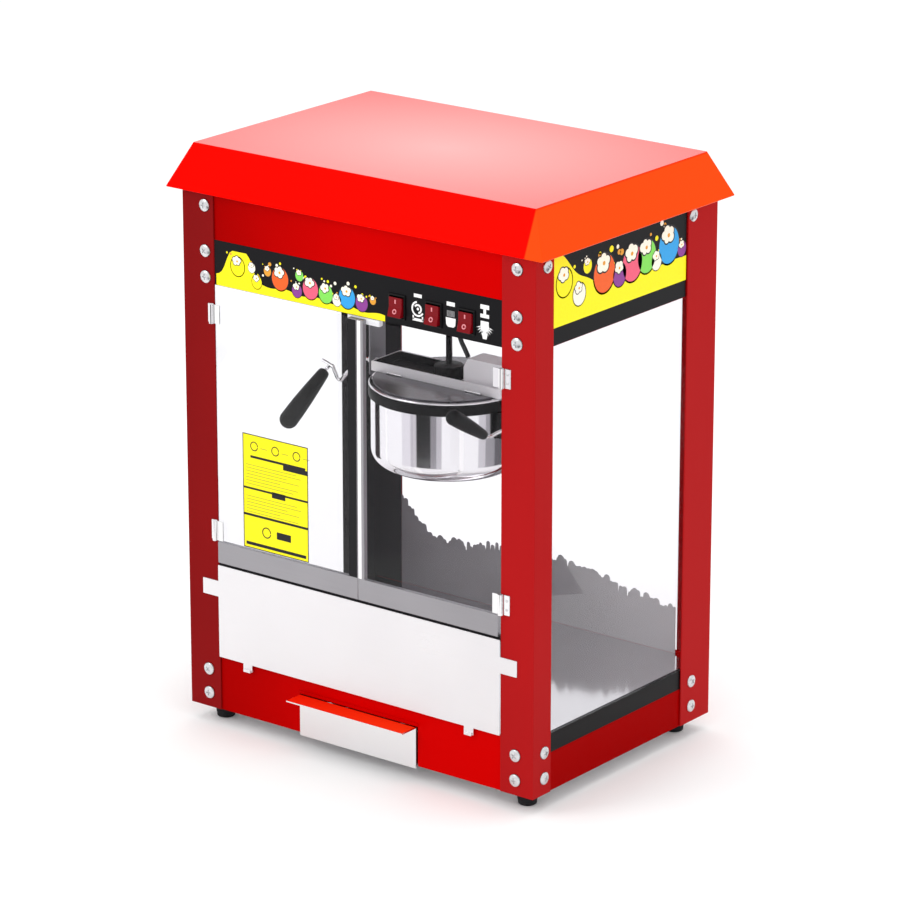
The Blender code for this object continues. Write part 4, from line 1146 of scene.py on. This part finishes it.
class PopcornStage(bpy.types.PropertyGroup):
    """Camera and lights."""

    lens: FloatProperty(name="Lens", description="Focal length", default=178.46, unit="CAMERA")
    distance: FloatProperty(name="Distance", description="Camera to target", default=5.3987, unit="LENGTH")
    azimuth: FloatProperty(name="Azimuth", description="Camera's turn to the right",
                           default=math.radians(37.858), subtype="ANGLE")
    elevation: FloatProperty(name="Elevation", description="Camera's height angle",
                             default=math.radians(17.842), subtype="ANGLE")
    world_strength: FloatProperty(name="World", description="Brightness of the studio", default=1.0)
    key_power: FloatProperty(name="Key", description="Front left light", default=24.0, unit="POWER")
    top_power: FloatProperty(name="Top", description="Overhead light", default=25.0, unit="POWER")
    right_power: FloatProperty(name="Right", description="Right-hand light", default=1.5, unit="POWER")


class POPCORN_OT_palette(bpy.types.Operator):
    """Makes the finishes"""

    bl_idname = "popcorn.palette"
    bl_label = "Make Finishes"

    def execute(self, context):
        make_palette()
        return {"FINISHED"}


class POPCORN_OT_stage(bpy.types.Operator):
    """Sets the floor, lights and camera"""

    bl_idname = "popcorn.stage"
    bl_label = "Set Stage"

    def execute(self, context):
        build_stage()
        return {"FINISHED"}


class POPCORN_OT_cabinet(bpy.types.Operator):
    """Finishes the cabinet's sheets and panes, with the glazing angle and the rear film"""

    bl_idname = "popcorn.cabinet"
    bl_label = "Finish Cabinet"

    def execute(self, context):
        paint_cabinet()
        build_glazing_angle()
        build_film()
        return {"FINISHED"}


class POPCORN_OT_screws(bpy.types.Operator):
    """Sets the post screws"""

    bl_idname = "popcorn.screws"
    bl_label = "Set Screws"

    def execute(self, context):
        build_screws()
        return {"FINISHED"}


class POPCORN_OT_feet(bpy.types.Operator):
    """Builds the rubber feet"""

    bl_idname = "popcorn.feet"
    bl_label = "Build Feet"

    def execute(self, context):
        build_feet()
        return {"FINISHED"}


class POPCORN_OT_prints(bpy.types.Operator):
    """Prints the picture strips and the switch symbols"""

    bl_idname = "popcorn.prints"
    bl_label = "Print Strips"

    def execute(self, context):
        build_strips()
        build_symbols()
        return {"FINISHED"}


class POPCORN_OT_switches(bpy.types.Operator):
    """Builds the switch bezels and marks"""

    bl_idname = "popcorn.switches"
    bl_label = "Build Switches"

    def execute(self, context):
        build_switches()
        return {"FINISHED"}


class POPCORN_OT_doors(bpy.types.Operator):
    """Finishes the doors and adds leaves, rivets, catch and sticker"""

    bl_idname = "popcorn.doors"
    bl_label = "Finish Doors"

    def execute(self, context):
        build_doors()
        build_label()
        return {"FINISHED"}


class POPCORN_OT_flap_and_drawer(bpy.types.Operator):
    """Finishes the serving flap and the kernel drawer"""

    bl_idname = "popcorn.flap_and_drawer"
    bl_label = "Finish Flap and Drawer"

    def execute(self, context):
        build_flap_and_drawer()
        return {"FINISHED"}


class POPCORN_OT_kettle(bpy.types.Operator):
    """Builds the kettle's bowl, band and top"""

    bl_idname = "popcorn.kettle"
    bl_label = "Build Kettle"

    def execute(self, context):
        build_pot()
        build_kettle_top()
        return {"FINISHED"}


class POPCORN_OT_levers(bpy.types.Operator):
    """Builds the two tilt levers"""

    bl_idname = "popcorn.levers"
    bl_label = "Build Levers"

    def execute(self, context):
        build_levers()
        return {"FINISHED"}


class POPCORN_OT_fittings(bpy.types.Operator):
    """Builds the heater lead and finishes the lamp and inlet"""

    bl_idname = "popcorn.fittings"
    bl_label = "Build Lead and Fittings"

    def execute(self, context):
        build_lead()
        build_fittings()
        return {"FINISHED"}


OPERATORS = (
    POPCORN_OT_palette, POPCORN_OT_stage, POPCORN_OT_cabinet, POPCORN_OT_screws, POPCORN_OT_feet,
    POPCORN_OT_prints, POPCORN_OT_switches, POPCORN_OT_doors, POPCORN_OT_flap_and_drawer,
    POPCORN_OT_kettle, POPCORN_OT_levers, POPCORN_OT_fittings,
)


class POPCORN_PT_panel(bpy.types.Panel):
    """Lists the pieces"""

    bl_idname = "POPCORN_PT_panel"
    bl_label = "Popcorn Maker"
    bl_space_type = "VIEW_3D"
    bl_region_type = "UI"
    bl_category = "Popcorn Maker"

    def draw(self, context):
        for operator in OPERATORS:
            self.layout.operator(operator.bl_idname)
        for group in (context.scene.popcorn_finish, context.scene.popcorn_stage):
            for name in group.__annotations__:
                self.layout.prop(group, name)


CLASSES = (PopcornFinish, PopcornStage, *OPERATORS, POPCORN_PT_panel)


def register():
    for item in CLASSES:
        bpy.utils.register_class(item)
    bpy.types.Scene.popcorn_finish = PointerProperty(type=PopcornFinish)
    bpy.types.Scene.popcorn_stage = PointerProperty(type=PopcornStage)


def unregister():
    del bpy.types.Scene.popcorn_stage
    del bpy.types.Scene.popcorn_finish
    for item in reversed(CLASSES):
        bpy.utils.unregister_class(item)


def main():
    register()
    bpy.ops.popcorn.palette()
    bpy.ops.popcorn.stage()
    bpy.ops.popcorn.cabinet()
    bpy.ops.popcorn.screws()
    bpy.ops.popcorn.feet()
    bpy.ops.popcorn.prints()
    bpy.ops.popcorn.switches()
    bpy.ops.popcorn.doors()
    bpy.ops.popcorn.flap_and_drawer()
    bpy.ops.popcorn.kettle()
    bpy.ops.popcorn.levers()
    bpy.ops.popcorn.fittings()


if __name__ == "__main__":
    main()
